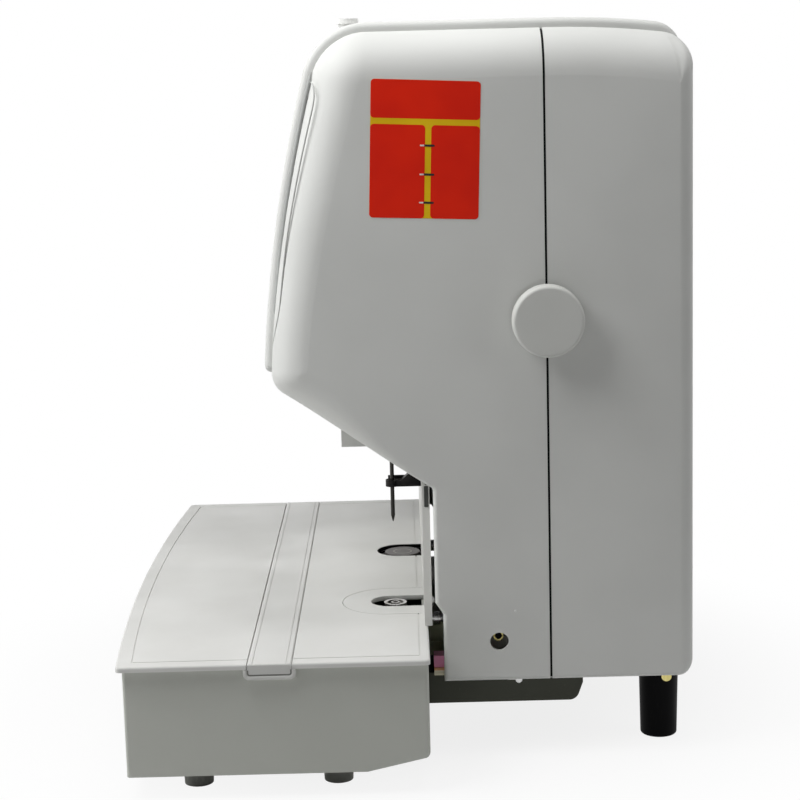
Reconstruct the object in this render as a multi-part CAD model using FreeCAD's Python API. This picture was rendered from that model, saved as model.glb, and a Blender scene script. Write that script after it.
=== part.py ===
"""Document riveting machine: drills a stack of paper and rivets it with a plastic tube.

Frame: +X to the operator's right, -Y towards the operator, +Z up, millimetres.
The origin is on the floor, under the middle of the bounding box.
"""
import FreeCAD, Part
import math
import os
from FreeCAD import Vector


# ---- table and base ----
table_width = 400.0
table_rear_y = 14.0
table_side_depth = 176.0
table_front_bulge = 8.5
table_top_z = 80.0
lid_thickness = 3.0
lid_corner_radius = 3.0
lid_edge_round = 1.2
base_side_inset = 4.0
base_end_inset = 3.0
base_rear_inset = 1.0
base_wall = 2.2
base_floor_thickness = 2.0
base_corner_radius = 2.0
base_bottom_z = 14.0
base_heel_length = 36.7
base_heel_rise = 14.6
panel_line_side = 9.0
panel_line_front = 8.0
panel_line_rear = 5.2
panel_line_width = 0.8
panel_line_depth = 0.5
strip_centre_y = -76.0
strip_width = 25.0
strip_thickness = 1.6
strip_fit_gap = 0.4
strip_drop = 9.0
strip_fold_round = 1.0
strip_rim_width = 30.0
strip_line_inset = 3.0
strip_line_width = 0.6
strip_line_depth = 0.4
foot_radius = 9.0
foot_taper = 0.6
foot_hole_radius = 3.0
foot_hole_depth = 4.0
foot_side_inset = 32.0
foot_front_inset = 40.5
foot_rear_inset = 54.3

# ---- working stations ----
drill_x = -46.0
rivet_side_inset = 61.0
station_y = -5.5
throat_capacity = 50.0
needle_over_stack = 0.7
pad_radius = 12.0
pad_offset_y = 4.8
pad_thickness = 5.3
pad_below_top = 0.7
pad_round = 0.5
pad_stem_radius = 4.0
pad_stem_length = 6.0
pad_slot_half_width = 16.0
pad_slot_front = 12.5
rivet_slot_half_width = 11.5
rivet_slot_front = 15.1
insert_half_width = 28.4
insert_front = 32.5
insert_gap = 0.4

# ---- head casing ----
head_half_width = 140.0
head_bottom_z = 47.0
head_top_z = 427.0
head_rear_y = 170.5
column_front_y = 18.5
column_foot_y = 23.0
column_step_low_z = 88.0
column_step_high_z = 95.0
throat_corner_z = 163.9
underside_angle = 32.8
front_top_y = -46.5
front_top_drop = 27.0
front_low_y = -73.5
front_low_z = 238.0
front_bow = 3.8
roof_break_y = 90.0
roof_bow_radius = 516.0
shell_wall = 3.0
seam_y = 86.0
seam_gap = 1.4
seam_depth = 1.5
band_rise = 4.5
band_side_inset = 25.0
band_low_z = 237.0
band_rear_inset = 4.0
band_rear_radius = 18.0
top_front_radius = 34.0
top_rear_radius = 20.0
foot_rear_radius = 9.0
nose_radius = 14.0
throat_radius = 3.0
side_radius_top = 28.0
side_radius_front = 22.0
side_radius_rear = 8.0
side_radius_under = 2.5
front_top_z = head_top_z - front_top_drop
band_half_width = head_half_width - band_side_inset
rivet_x = head_half_width - rivet_side_inset

# ---- clearances, and the reach of cutting tools ----
running_gap = 0.05
free_gap = 0.4
seat_gap = 0.3
past = 1.0
far = 1000.0
same = 1e-6


def vec(x, y, z):
    return Vector(x, y, z)


def box(x0, x1, y0, y1, z0, z1):
    return Part.makeBox(x1 - x0, y1 - y0, z1 - z0, vec(x0, y0, z0))


def rod_x(radius, x0, x1, y, z):
    return Part.makeCylinder(radius, x1 - x0, vec(x0, y, z), vec(1, 0, 0))


def rod_y(radius, y0, y1, x, z):
    return Part.makeCylinder(radius, y1 - y0, vec(x, y0, z), vec(0, 1, 0))


def rod_z(radius, z0, z1, x, y):
    return Part.makeCylinder(radius, z1 - z0, vec(x, y, z0), vec(0, 0, 1))


def slot_z(half_width, tip_y, rear_y, z0, z1, x):
    """A slot that is open to the rear and has a round front end."""
    centre_y = tip_y + half_width
    body = box(x - half_width, x + half_width, centre_y, rear_y, z0, z1)
    return body.fuse(rod_z(half_width, z0, z1, x, centre_y)).removeSplitter()


def prism_x(points, x0, x1):
    """A solid with the given (y, z) corners, from x0 to x1."""
    wire = Part.makePolygon([vec(x0, y, z) for y, z in points + points[:1]])
    return Part.Face(wire).extrude(vec(x1 - x0, 0, 0))


def prism_z(points, z0, z1):
    """A solid with the given (x, y) corners, from z0 to z1."""
    wire = Part.makePolygon([vec(x, y, z0) for x, y in points + points[:1]])
    return Part.Face(wire).extrude(vec(0, 0, z1 - z0))


def arc_yz(start, middle, end):
    """Arc through three (y, z) points at X = 0."""
    return Part.Arc(vec(0, *start), vec(0, *middle), vec(0, *end)).toShape()


def fuse(shapes):
    first = shapes[0]
    if len(shapes) == 1:
        return first
    return first.multiFuse(shapes[1:]).removeSplitter()


def cut(shape, tools):
    for tool in tools:
        shape = shape.cut(tool)
    return shape


def solids_of(shape):
    return Part.makeCompound(shape.Solids)


def edges_where(shape, test):
    return [edge for edge in shape.Edges if test(edge)]


def round_edges(shape, radius, test):
    found = edges_where(shape, test)
    return shape.makeFillet(radius, found) if found else shape


def in_front_of(y):
    return box(-far, far, -far, y, -far, far)


def behind(y):
    return box(-far, far, y, far, -far, far)


def upright(edge):
    """True for a straight edge along Z."""
    ends = edge.Vertexes
    if len(ends) != 2:
        return False
    return abs(ends[0].X - ends[1].X) < same and abs(ends[0].Y - ends[1].Y) < same


# ---- head casing ----


def front_circle():
    """Centre (y, z) and radius of the bowed front face."""
    chord = math.dist((front_top_y, front_top_z), (front_low_y, front_low_z))
    radius = (chord * chord / 4 + front_bow * front_bow) / (2 * front_bow)
    mid_y = (front_top_y + front_low_y) / 2
    mid_z = (front_top_z + front_low_z) / 2
    out_y = -(front_top_z - front_low_z) / chord
    out_z = (front_top_y - front_low_y) / chord
    reach = radius - front_bow
    return (mid_y - out_y * reach, mid_z - out_z * reach), radius


def front_y(z, rise):
    """Y of the front face at height z, moved outwards by rise."""
    (centre_y, centre_z), radius = front_circle()
    return centre_y - math.sqrt((radius + rise) ** 2 - (z - centre_z) ** 2)


def front_tilt(z):
    """Lean of the front face from upright at height z, in radians."""
    (_, centre_z), radius = front_circle()
    return math.asin((z - centre_z) / radius)


def nose_point(inset, rise):
    """Where the bowed front meets the sloping underside."""
    angle = math.radians(underside_angle)
    along = (-math.cos(angle), math.sin(angle))
    start = (column_front_y + inset * math.sin(angle), throat_corner_z + inset * math.cos(angle))
    (centre_y, centre_z), radius = front_circle()
    radius += rise - inset
    off_y = start[0] - centre_y
    off_z = start[1] - centre_z
    half = off_y * along[0] + off_z * along[1]
    reach = -half + math.sqrt(half * half - off_y * off_y - off_z * off_z + radius * radius)
    return start[0] + reach * along[0], start[1] + reach * along[1]


def throat_point(inset):
    """Where the sloping underside meets the front of the column."""
    angle = math.radians(underside_angle)
    start_y = column_front_y + inset * math.sin(angle)
    start_z = throat_corner_z + inset * math.cos(angle)
    target_y = column_front_y + inset
    return target_y, start_z - (target_y - start_y) * math.tan(angle)


def head_side(inset=0.0, rise=0.0, bottom=None):
    """Wire of the head and column in the Y-Z plane at X = 0, with its sharp corners as (y, z)."""
    low = head_bottom_z if bottom is None else bottom
    out = rise - inset
    top = head_top_z + out
    rear = head_rear_y - inset - (band_rear_inset if rise > 0 else 0.0)
    bow = roof_bow_radius + out
    rear_top = top - bow + math.sqrt(bow ** 2 - (rear - roof_break_y) ** 2)
    mid_y = (roof_break_y + rear) / 2
    mid_top = top - bow + math.sqrt(bow ** 2 - (mid_y - roof_break_y) ** 2)
    nose = nose_point(inset, rise)
    crown = (front_y(top, out), top)
    throat = throat_point(inset)
    middle_z = (nose[1] + top) / 2
    lower = [(column_foot_y + inset, low), (column_foot_y + inset, column_step_low_z),
             (column_front_y + inset, column_step_high_z), throat, nose]
    edges = [Part.makeLine(vec(0, *a), vec(0, *b)) for a, b in zip(lower, lower[1:])]
    edges.append(arc_yz(nose, (front_y(middle_z, out), middle_z), crown))
    edges.append(Part.makeLine(vec(0, *crown), vec(0, roof_break_y, top)))
    edges.append(arc_yz((roof_break_y, top), (mid_y, mid_top), (rear, rear_top)))
    edges.append(Part.makeLine(vec(0, rear, rear_top), vec(0, rear, low)))
    edges.append(Part.makeLine(vec(0, rear, low), vec(0, *lower[0])))
    corners = {"crown": crown, "rear_top": (rear, rear_top), "rear_foot": (rear, low), "nose": nose,
               "throat": throat}
    return Part.Wire(edges), corners


def cross_edge(shape, corner, half_width):
    """The edges along X, as wide as the shape, that pass through a (y, z) corner."""
    def at_corner(edge):
        ends = edge.Vertexes
        if len(ends) != 2 or abs(abs(ends[0].X - ends[1].X) - 2 * half_width) > 0.01:
            return False
        return math.dist((ends[0].Y, ends[0].Z), corner) < 0.01
    return edges_where(shape, at_corner)


def head_block(half_width, inset=0.0, rise=0.0, bottom=None):
    """The head and column as one block with rounded cross edges and sharp sides."""
    wire, corners = head_side(inset, rise, bottom)
    block = Part.Face(wire).extrude(vec(2 * half_width, 0, 0))
    block.translate(vec(-half_width, 0, 0))
    rear_radius = band_rear_radius if rise > 0 else top_rear_radius
    radii = {"crown": top_front_radius + rise, "rear_top": rear_radius, "nose": nose_radius}
    if bottom is None:
        radii["rear_foot"] = foot_rear_radius
    for name, radius in radii.items():
        depth = 0.0 if name == "nose" else inset
        block = block.makeFillet(radius - depth, cross_edge(block, corners[name], half_width))
    return block.makeFillet(throat_radius + inset, cross_edge(block, corners["throat"], half_width))


def side_radius(point, inset):
    """Side rounding at a point of the block's side outline."""
    _, corners = head_side(inset)
    if point.Y > head_rear_y - inset - past and point.Z < corners["rear_top"][1]:
        return side_radius_rear - inset
    if point.Z > front_top_z:
        return side_radius_top - inset
    if point.Y < corners["nose"][0] + nose_radius / 3:
        return side_radius_front - inset
    return side_radius_under


def rounded_head(half_width, inset=0.0, bottom=None):
    """The head block with its side outlines rounded: wide at the top, narrow at the rear and below."""
    block = head_block(half_width, inset, 0.0, bottom)
    edges = []
    for number, edge in enumerate(block.Edges, 1):
        ends = edge.Vertexes
        if len(ends) != 2 or any(abs(abs(end.X) - half_width) > same for end in ends):
            continue
        at_mouth = bottom is not None and max(ends[0].Z, ends[1].Z) < bottom + past
        if ends[0].X * ends[1].X > 0 and not at_mouth:
            edges.append((number, side_radius(ends[0], inset), side_radius(ends[1], inset)))
    document = FreeCAD.newDocument("rounding")
    source = document.addObject("Part::Feature", "block")
    source.Shape = block
    fillet = document.addObject("Part::Fillet", "fillet")
    fillet.Base = source
    fillet.Edges = edges
    document.recompute()
    result = fillet.Shape.copy()
    FreeCAD.closeDocument(document.Name)
    return result


# ---- control panel on the front ----
panel_half_width = 88.0
panel_low_z = 247.0
panel_top_drop = 29.0
panel_recess = 1.5
panel_sink = 0.4
panel_fit_gap = 0.3
button_count = 4
button_pitch = 30.0
button_z = 264.0
button_radius = 7.0
button_round = 0.8
button_proud = 1.4
button_travel = 1.8
button_flange = 2.0
button_flange_rim = 1.5
display_half_width = 46.0
display_low_z = 336.0
display_height = 42.0
led_count = 3
led_pitch = 20.0
led_radius = 2.2
led_proud = 0.6
led_z = 314.0
board_clearance = 1.8
board_gap = 0.2
board_thickness = 1.6
board_side_inset = 6.0
board_height = 118.0
panel_high_z = head_top_z - panel_top_drop
display_high_z = display_low_z + display_height
board_depth = shell_wall + free_gap + button_flange + button_travel + board_clearance

# ---- rear panels ----
hatch_half_width = 100.0
hatch_low_z = 214.0
hatch_top_drop = 55.0
hatch_high_z = head_top_z - hatch_top_drop
rear_plate_low_z = 98.0
rear_plate_thickness = 1.2
rear_plate_sink = 0.1
rear_ledge = 10.0
vent_count = 9
vent_pitch = 8.0
vent_height = 3.0
vent_half_width = 60.0
vent_rise = 50.0
screw_head_radius = 2.4
screw_inset = 6.0
inlet_x = -55.0
inlet_z = 150.0
inlet_half_width = 14.0
inlet_half_height = 10.0
inlet_depth = 22.0
inlet_wall = 2.5
inlet_floor = 5.0
blade_half_width = 1.0
blade_half_height = 2.0
blade_set_back = 5.0
blade_places = ((-6.0, -2.0), (0.0, 3.0), (6.0, -2.0))
switch_x = 0.0
switch_half_width = 7.0
switch_half_height = 11.0
switch_bezel = 2.0
switch_depth = 20.0
switch_floor = 4.0
rocker_pivot_depth = 7.0
rocker_end_gap = 1.0
rocker_heel = 3.0
rocker_waist = 4.5
rocker_tip_low = 3.5
rocker_tip_high = 5.5
fuse_x = 50.0
fuse_radius = 7.0
fuse_depth = 24.0
fuse_slot_half_length = 5.0
fuse_slot_width = 1.2
fuse_slot_depth = 1.5

# ---- side and roof fittings ----
access_y = 55.6
access_z = 71.0
access_radius = 5.5
chip_box_y = 60.0
chip_box_half_depth = 24.0
chip_box_low_z = 120.0
chip_box_high_z = 168.0
chip_box_length = 52.0
chip_box_wall = 1.6
chip_box_front = 2.5
grip_depth = 1.5
grip_half_width = 12.0
grip_top_drop = 6.0
grip_height = 8.0
knob_radius = 20.5
knob_round = 2.0
knob_thickness = 11.0
knob_stand_off = 4.0
knob_hub_radius = 8.0
knob_socket = 4.0
feed_axis_y = seam_y
feed_axis_z = 262.0
feed_shaft_radius = 5.0
shaft_hole_gap = 1.0
tube_inlet_y = -25.0
tube_inlet_bore = 3.0
tube_inlet_radius = 5.0
tube_collar_rim = 2.0
tube_collar_height = 3.0
tube_sleeve_length = 20.0
pod_centre_x = (drill_x + rivet_x) / 2
pod_front_y = -36.4
pod_bottom_z = 174.5
pod_half_width = 45.0
lens_radius = 5.0
lens_thickness = 2.0
lens_setback = 8.0

# ---- openings round the throat ----
bar_front_y = 16.0
bar_rear_y = 22.0
bar_slot_gap = 1.5
fence_slot_half = 7.0
drill_port_radius = 12.0
rivet_port_radius = 9.0
column_mouth_side = 9.0
column_mouth_top_z = 152.0
column_mouth_half_width = head_half_width - column_mouth_side


def face_frame(x, z):
    """Point on the raised front face at (x, z), and its outward direction."""
    tilt = front_tilt(z)
    return vec(x, front_y(z, band_rise), z), vec(0, -math.cos(tilt), math.sin(tilt))


def face_rod(radius, x, z, start, end):
    """A rod square to the raised front face, from depth start to depth end (outwards positive)."""
    point, outward = face_frame(x, z)
    return Part.makeCylinder(radius, end - start, point + outward * start, outward)


def front_slab(half_width, low_z, high_z, low_rise, high_rise):
    """The layer of the front face between two depths, inside a window of the face."""
    window = box(-half_width, half_width, -far, station_y, low_z, high_z)
    outer = head_block(half_width, 0.0, high_rise)
    inner = head_block(half_width + past, 0.0, low_rise)
    return outer.common(window).cut(inner)


def band_zone(grow):
    """Where the raised band runs: up the front and over the roof, above its lower end."""
    half = band_half_width + grow
    return box(-half, half, -far, far, band_low_z - grow, far)


def casing():
    """Both shells in one piece: side-rounded block with a raised band, hollowed out."""
    band = head_block(band_half_width, 0.0, band_rise).common(band_zone(0.0))
    band_hollow = head_block(band_half_width - shell_wall, shell_wall, band_rise)
    band_hollow = band_hollow.common(band_zone(-shell_wall))
    outer = rounded_head(head_half_width).fuse(band)
    mouth_z = head_bottom_z - past
    hollow = rounded_head(head_half_width - shell_wall, shell_wall, mouth_z).fuse(band_hollow)
    return outer.cut(hollow)


def seam_groove():
    half_gap = seam_gap / 2
    slab = box(-far, far, seam_y - half_gap, seam_y + half_gap, 0, far)
    core = rounded_head(head_half_width - seam_depth, seam_depth)
    core = core.fuse(head_block(band_half_width - seam_depth, seam_depth, band_rise))
    return slab.cut(core)


def row_places(count, pitch):
    """X of each piece in a row that is centred on X = 0."""
    first = -(count - 1) * pitch / 2
    return [first + number * pitch for number in range(count)]


def button_places():
    return row_places(button_count, button_pitch)


def led_places():
    return row_places(led_count, led_pitch)


def panel_holes():
    """Holes square to the front face for the buttons and lights."""
    reach = board_depth
    holes = [face_rod(button_radius + free_gap, x, button_z, -reach, past) for x in button_places()]
    holes += [face_rod(led_radius + running_gap, x, led_z, -reach, past) for x in led_places()]
    return holes


def front_shell(whole):
    shell = whole.common(in_front_of(seam_y))
    recess_floor = band_rise - panel_recess
    recess = front_slab(panel_half_width, panel_low_z, panel_high_z, recess_floor, band_rise + past)
    mouth = column_mouth_half_width
    slot = fence_slot_half
    tools = [seam_groove(), recess, chip_box_hole(), feed_shaft_hole()]
    tools.append(rod_z(drill_port_radius, table_top_z, guide_plate_z, drill_x, station_y))
    tools.append(rod_z(rivet_port_radius, table_top_z, guide_plate_z, rivet_x, station_y))
    tools.append(box(-mouth, mouth, 0, column_foot_y + shell_wall + past, 0, column_mouth_top_z))
    tools.append(rod_x(access_radius, 0, far, access_y, access_z))
    tools.append(rod_z(tube_inlet_radius, crown_plate_z, far, rivet_x, tube_inlet_y))
    tools.append(box(rivet_x - slot, rivet_x + slot, bar_front_y - bar_slot_gap, bar_rear_y + bar_slot_gap,
                     table_top_z, guide_plate_z))
    return solids_of(cut(shell, tools + panel_holes()))


def feed_shaft_hole():
    return rod_x(feed_shaft_radius + shaft_hole_gap, 0, far, feed_axis_y, feed_axis_z)


def chip_box_hole():
    gap = free_gap
    low_y = chip_box_y - chip_box_half_depth - gap
    high_y = chip_box_y + chip_box_half_depth + gap
    inner_x = 2 * shell_wall - head_half_width
    return box(-far, inner_x, low_y, high_y, chip_box_low_z - gap, chip_box_high_z + gap)


def plate_face_y():
    """Y of the outer face of the rear plates and of what sits flush in them."""
    return head_rear_y - rear_plate_sink


def plate_inner_y():
    return head_rear_y - rear_plate_thickness


def rear_window(half_width, low_z, high_z, y0, y1):
    return box(-half_width, half_width, y0, y1, low_z, high_z)


def rear_shell(whole):
    shell = whole.common(behind(seam_y))
    inner = hatch_half_width - rear_ledge
    half_ledge = rear_ledge / 2
    through_y = frame_rear_y
    tools = [seam_groove(), feed_shaft_hole()]
    tools.append(rear_window(hatch_half_width, rear_plate_low_z, hatch_high_z, plate_inner_y(), far))
    tools.append(rear_window(inner, rear_plate_low_z + rear_ledge, hatch_low_z - half_ledge, through_y, far))
    tools.append(rear_window(inner, hatch_low_z + half_ledge, hatch_high_z - rear_ledge, through_y, far))
    return solids_of(cut(shell, tools))


def control_overlay():
    gap = panel_fit_gap
    low = band_rise - panel_recess
    high = band_rise - panel_sink
    plate = front_slab(panel_half_width - gap, panel_low_z + gap, panel_high_z - gap, low, high)
    return solids_of(cut(plate, [display_slab(gap)] + panel_holes()))


def display_slab(grow):
    half = display_half_width + grow
    low = band_rise - panel_recess
    return front_slab(half, display_low_z - grow, display_high_z + grow, low, band_rise)


def panel_button(x):
    back = -shell_wall - free_gap
    cap = face_rod(button_radius, x, button_z, back, button_proud)
    rim = edges_where(cap, lambda edge: len(edge.Vertexes) == 1)
    front_rim = min(rim, key=lambda edge: edge.CenterOfMass.y)
    cap = cap.makeFillet(button_round, [front_rim])
    flange = face_rod(button_radius + button_flange_rim, x, button_z, back - button_flange, back)
    return cap.fuse(flange).removeSplitter()


def status_leds():
    lenses = [face_rod(led_radius, x, led_z, -board_depth, led_proud) for x in led_places()]
    return Part.makeCompound(lenses)


def control_board():
    """Circuit board square to the front face at the LEDs, standing behind the buttons."""
    centre, outward = face_frame(0.0, led_z)
    half = panel_half_width - board_side_inset
    board = Part.makeBox(2 * half, board_thickness, board_height)
    board.translate(vec(-half, 0, -board_height / 2))
    board.rotate(vec(0, 0, 0), vec(1, 0, 0), -math.degrees(front_tilt(led_z)))
    board.translate(centre - outward * (board_depth + board_gap))
    return board


def rear_plate(low_z, high_z):
    gap = panel_fit_gap
    return rear_window(hatch_half_width - gap, low_z + gap, high_z - gap, plate_inner_y(), plate_face_y())


def rear_hatch():
    vents = []
    for row in range(vent_count):
        z = hatch_low_z + vent_rise + row * vent_pitch
        vents.append(rear_window(vent_half_width, z, z + vent_height, frame_rear_y, far))
    return cut(rear_plate(hatch_low_z, hatch_high_z), vents + screw_holes())


def opening_y(x, half_width, half_height):
    """Cutter along Y for a rectangular opening of the connector plate."""
    return block_y(x, half_width, half_height, frame_rear_y, far)


def connector_plate():
    bezel = switch_bezel
    tools = [opening_y(inlet_x, inlet_half_width, inlet_half_height),
             opening_y(switch_x, switch_half_width + bezel, switch_half_height + bezel),
             rod_y(fuse_radius, frame_rear_y, far, fuse_x, inlet_z)]
    return cut(rear_plate(rear_plate_low_z, hatch_low_z), tools + screw_holes())


def screw_holes():
    """Discs through the rear plates where their screws sit."""
    inset = screw_inset
    discs = []
    for x in (inset - hatch_half_width, hatch_half_width - inset):
        for z in (rear_plate_low_z + inset, hatch_low_z - inset, hatch_low_z + inset, hatch_high_z - inset):
            discs.append(rod_y(screw_head_radius, plate_inner_y(), plate_face_y(), x, z))
    return discs


def block_y(x, half_width, half_height, y0, y1):
    """Block centred on X = x at the height of the connectors."""
    return box(x - half_width, x + half_width, y0, y1, inlet_z - half_height, inlet_z + half_height)


def mains_inlet():
    """Three-pin inlet: a cup behind the plate with a deep socket and three blades."""
    face = plate_face_y()
    floor = face - inlet_depth + inlet_floor
    wall = inlet_wall
    body = block_y(inlet_x, inlet_half_width, inlet_half_height, face - inlet_depth, face)
    body = body.cut(block_y(inlet_x, inlet_half_width - wall, inlet_half_height - wall, floor, face + past))
    blades = []
    for dx, dz in blade_places:
        x = inlet_x + dx
        blade = block_y(x, blade_half_width, blade_half_height, floor - past, face - blade_set_back)
        blade.translate(vec(0, 0, dz))
        blades.append(blade)
    return fuse([body] + blades)


def switch_frame():
    face = plate_face_y()
    half = switch_half_width
    tall = switch_half_height
    body = block_y(switch_x, half + switch_bezel, tall + switch_bezel, face - switch_depth, face)
    return body.cut(block_y(switch_x, half, tall, face - switch_depth + switch_floor, face + past))


def switch_rocker():
    """Rocker that turns about X at its middle; both ends stay inside the frame."""
    half = switch_half_width - free_gap
    tall = switch_half_height - rocker_end_gap
    pivot_y = plate_face_y() - rocker_pivot_depth
    heel_y = pivot_y - rocker_heel
    low_y = pivot_y + rocker_tip_low
    high_y = pivot_y + rocker_tip_high
    points = [(heel_y, inlet_z - rocker_heel), (low_y, inlet_z - tall), (high_y, inlet_z - tall),
              (pivot_y + rocker_waist, inlet_z), (high_y, inlet_z + tall), (low_y, inlet_z + tall),
              (heel_y, inlet_z + rocker_heel)]
    return prism_x(points, switch_x - half, switch_x + half)


def fuse_cap():
    face = plate_face_y()
    half = fuse_slot_width / 2
    body = rod_y(fuse_radius, face - fuse_depth, face, fuse_x, inlet_z)
    slot = block_y(fuse_x, fuse_slot_half_length, half, face - fuse_slot_depth, face + past)
    return body.cut(slot)


def tube_inlet():
    """Collar on the roof: the plastic tube is pushed down through it."""
    roof = head_top_z + band_rise
    rim = tube_inlet_radius + tube_collar_rim
    collar = rod_z(rim, roof, roof + tube_collar_height, rivet_x, tube_inlet_y)
    sleeve = rod_z(tube_inlet_radius, roof - tube_sleeve_length, roof, rivet_x, tube_inlet_y)
    return fuse([collar, sleeve]).cut(rod_z(tube_inlet_bore, 0, far, rivet_x, tube_inlet_y))


def underside_z(y):
    return throat_corner_z + (column_front_y - y) * math.tan(math.radians(underside_angle))


def lamp_pod():
    """Lamp housing under the head: a wedge whose top follows the sloping underside."""
    rear_y = column_front_y - (pod_bottom_z - throat_corner_z) / math.tan(math.radians(underside_angle))
    points = [(pod_front_y, pod_bottom_z), (rear_y, pod_bottom_z), (pod_front_y, underside_z(pod_front_y))]
    pod = prism_x(points, pod_centre_x - pod_half_width, pod_centre_x + pod_half_width)
    return pod.cut(lens_rod(lens_radius + running_gap))


def lens_rod(radius):
    top = pod_bottom_z + lens_thickness
    return rod_z(radius, pod_bottom_z, top, pod_centre_x, pod_front_y + lens_setback)


def lamp_lens():
    return lens_rod(lens_radius)


def chip_box():
    """Paper chip drawer in the left side of the column, open at the top."""
    x0 = -head_half_width
    x1 = x0 + chip_box_length
    y0 = chip_box_y - chip_box_half_depth
    y1 = chip_box_y + chip_box_half_depth
    wall = chip_box_wall
    floor = chip_box_low_z + wall
    body = box(x0, x1, y0, y1, chip_box_low_z, chip_box_high_z)
    body = body.cut(box(x0 + chip_box_front, x1 - wall, y0 + wall, y1 - wall, floor, chip_box_high_z + past))
    grip_z = chip_box_high_z - grip_top_drop
    half = grip_half_width
    return body.cut(box(x0 - past, x0 + grip_depth, chip_box_y - half, chip_box_y + half,
                        grip_z - grip_height, grip_z))


# ---- frame inside the column and head ----
casing_side_gap = 10.0
casing_rear_gap = 10.5
chassis_lift = 1.0
chassis_thickness = 3.0
chassis_front_y = 17.0
clip_front_y = 60.5
clip_width = 7.5
clip_drop = 2.5
clip_reach_in = 4.0
clip_reach_out = 4.0
frame_side_gap = 14.0
frame_plate_thickness = 4.0
frame_front_y = 30.0
frame_rear_gap = 10.0
frame_arm_front_y = -50.0
frame_arm_high_z = 300.0
frame_arm_low_z = 234.0
frame_toe_y = -25.0
frame_toe_z = 218.0
frame_throat_z = 192.0
frame_crown_y = -20.0
shelf_gap = 0.3
shelf_thickness = 2.0
guide_plate_front_y = -40.0
guide_plate_rear_y = 60.0
guide_plate_thickness = 6.0
guide_hole_gap = 2.0
crown_plate_front_y = -15.0
crown_plate_rear_y = 120.0
crown_plate_thickness = 6.0
rear_plate_thick = 4.0
rear_opening_side = 22.0
rear_opening_low_z = 110.0
rear_opening_high_z = 200.0
inner_cover_thickness = 1.5
inner_cover_top_z = 186.0
fence_y = 12.0
fence_thickness = 2.0
fence_side_lap = 3.0
fence_top_z = 165.0
fence_slot_bridge = 3.0
fence_return_thickness = 1.5
fence_return_depth = 2.5
fence_lug_x = 100.0
fence_lug_half_width = 5.0
fence_lug_low_z = 100.0
fence_lug_height = 12.0
pan_side_gap = 5.0
pan_bottom_z = 29.0
pan_rear_y = 106.0
pan_wall = 1.5
pan_slope = 4.0
pan_slope_height = 11.0
pan_round = 6.0
holder_wall = 1.2
holder_rise = 4.0
holder_gap = 0.3
stem_end_gap = 0.2
well_wall = 2.5
well_side_gap = 1.0
well_depth = 11.0
well_floor = 1.5
well_rear_wall = 1.0
well_rear_gap = 0.1
arm_thickness = 9.0
arm_past_drill = 24.0
arm_past_rivet = 21.0
arm_low_x = drill_x - arm_past_drill
arm_high_x = rivet_x + arm_past_rivet
arm_front_y = -28.0
arm_rear_y = 60.0
arm_window_gap = 1.0
die_half_width = 13.0
die_front_y = -18.0
die_rear_y = 7.0
crown_die_below = 0.6
crown_die_radius = 7.0
crown_die_height = 6.4
crown_groove_outer = 5.0
crown_groove_inner = 2.8
crown_groove_depth = 1.2
leg_radius = 12.0
leg_foot_radius = 11.0
leg_round = 1.5
leg_side_inset = 25.5
leg_rear_inset = 6.1
leg_nut_radius = 3.0
leg_nut_length = 3.0
leg_nut_sink = 0.3
leg_nut_z = 40.0
leg_nut_offset_y = 3.0
bolt_x = 90.0
bolt_z = 71.5
bolt_radius = 2.5
bolt_collar_radius = 4.0
bolt_collar_length = 4.0
bolt_collar_start = 5.0
terminal_gap = 1.0
terminal_board_rear_y = 58.0
terminal_block_rear_y = 50.0
terminal_block_inset = 1.5
terminal_block_end = 1.0
terminal_block_height = 7.0
adjuster_radius = 3.0
adjuster_length = 12.0
adjuster_slot_depth = 1.5
adjuster_slot_width = 1.0
chassis_half_width = head_half_width - casing_side_gap
chassis_z = head_bottom_z + chassis_lift
chassis_top_z = chassis_z + chassis_thickness
chassis_rear_y = head_rear_y - casing_rear_gap
frame_plate_outer_x = chassis_half_width - frame_side_gap
frame_plate_x = frame_plate_outer_x - frame_plate_thickness
frame_rear_y = chassis_rear_y - frame_rear_gap
fence_half_width = column_mouth_half_width + fence_side_lap
pan_half_width = chassis_half_width - pan_side_gap
leg_x = chassis_half_width - leg_side_inset
leg_y = chassis_rear_y - leg_rear_inset
foot_x = table_width / 2 - foot_side_inset
foot_front_y = table_rear_y - table_side_depth + foot_front_inset
foot_rear_y = table_rear_y - foot_rear_inset
base_heel_y = table_rear_y - base_heel_length

# ---- heights in the head, from the roof down to the throat ----
roof_gap = 8.0
rivet_motor_radius = 18.0
rivet_motor_height = 38.0
crown_gap = 10.0
drill_motor_height = 40.0
carriage_height = 32.0
pulley_gap = 3.0
pulley_height = 9.0
carriage_stop_gap = 4.0
underside_gap = 0.8
shell_under = shell_wall / math.cos(math.radians(underside_angle))
guide_plate_z = underside_z(guide_plate_front_y) + shell_under + underside_gap
guide_top_z = guide_plate_z + guide_plate_thickness
crown_plate_z = head_top_z - shell_wall - roof_gap - rivet_motor_height - crown_plate_thickness
crown_top_z = crown_plate_z + crown_plate_thickness
carriage_bottom_z = crown_plate_z - crown_gap - drill_motor_height - carriage_height
carriage_top_z = carriage_bottom_z + carriage_height
pulley_low_z = carriage_bottom_z - pulley_gap - pulley_height
drill_travel = pulley_low_z - carriage_stop_gap - guide_top_z

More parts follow.
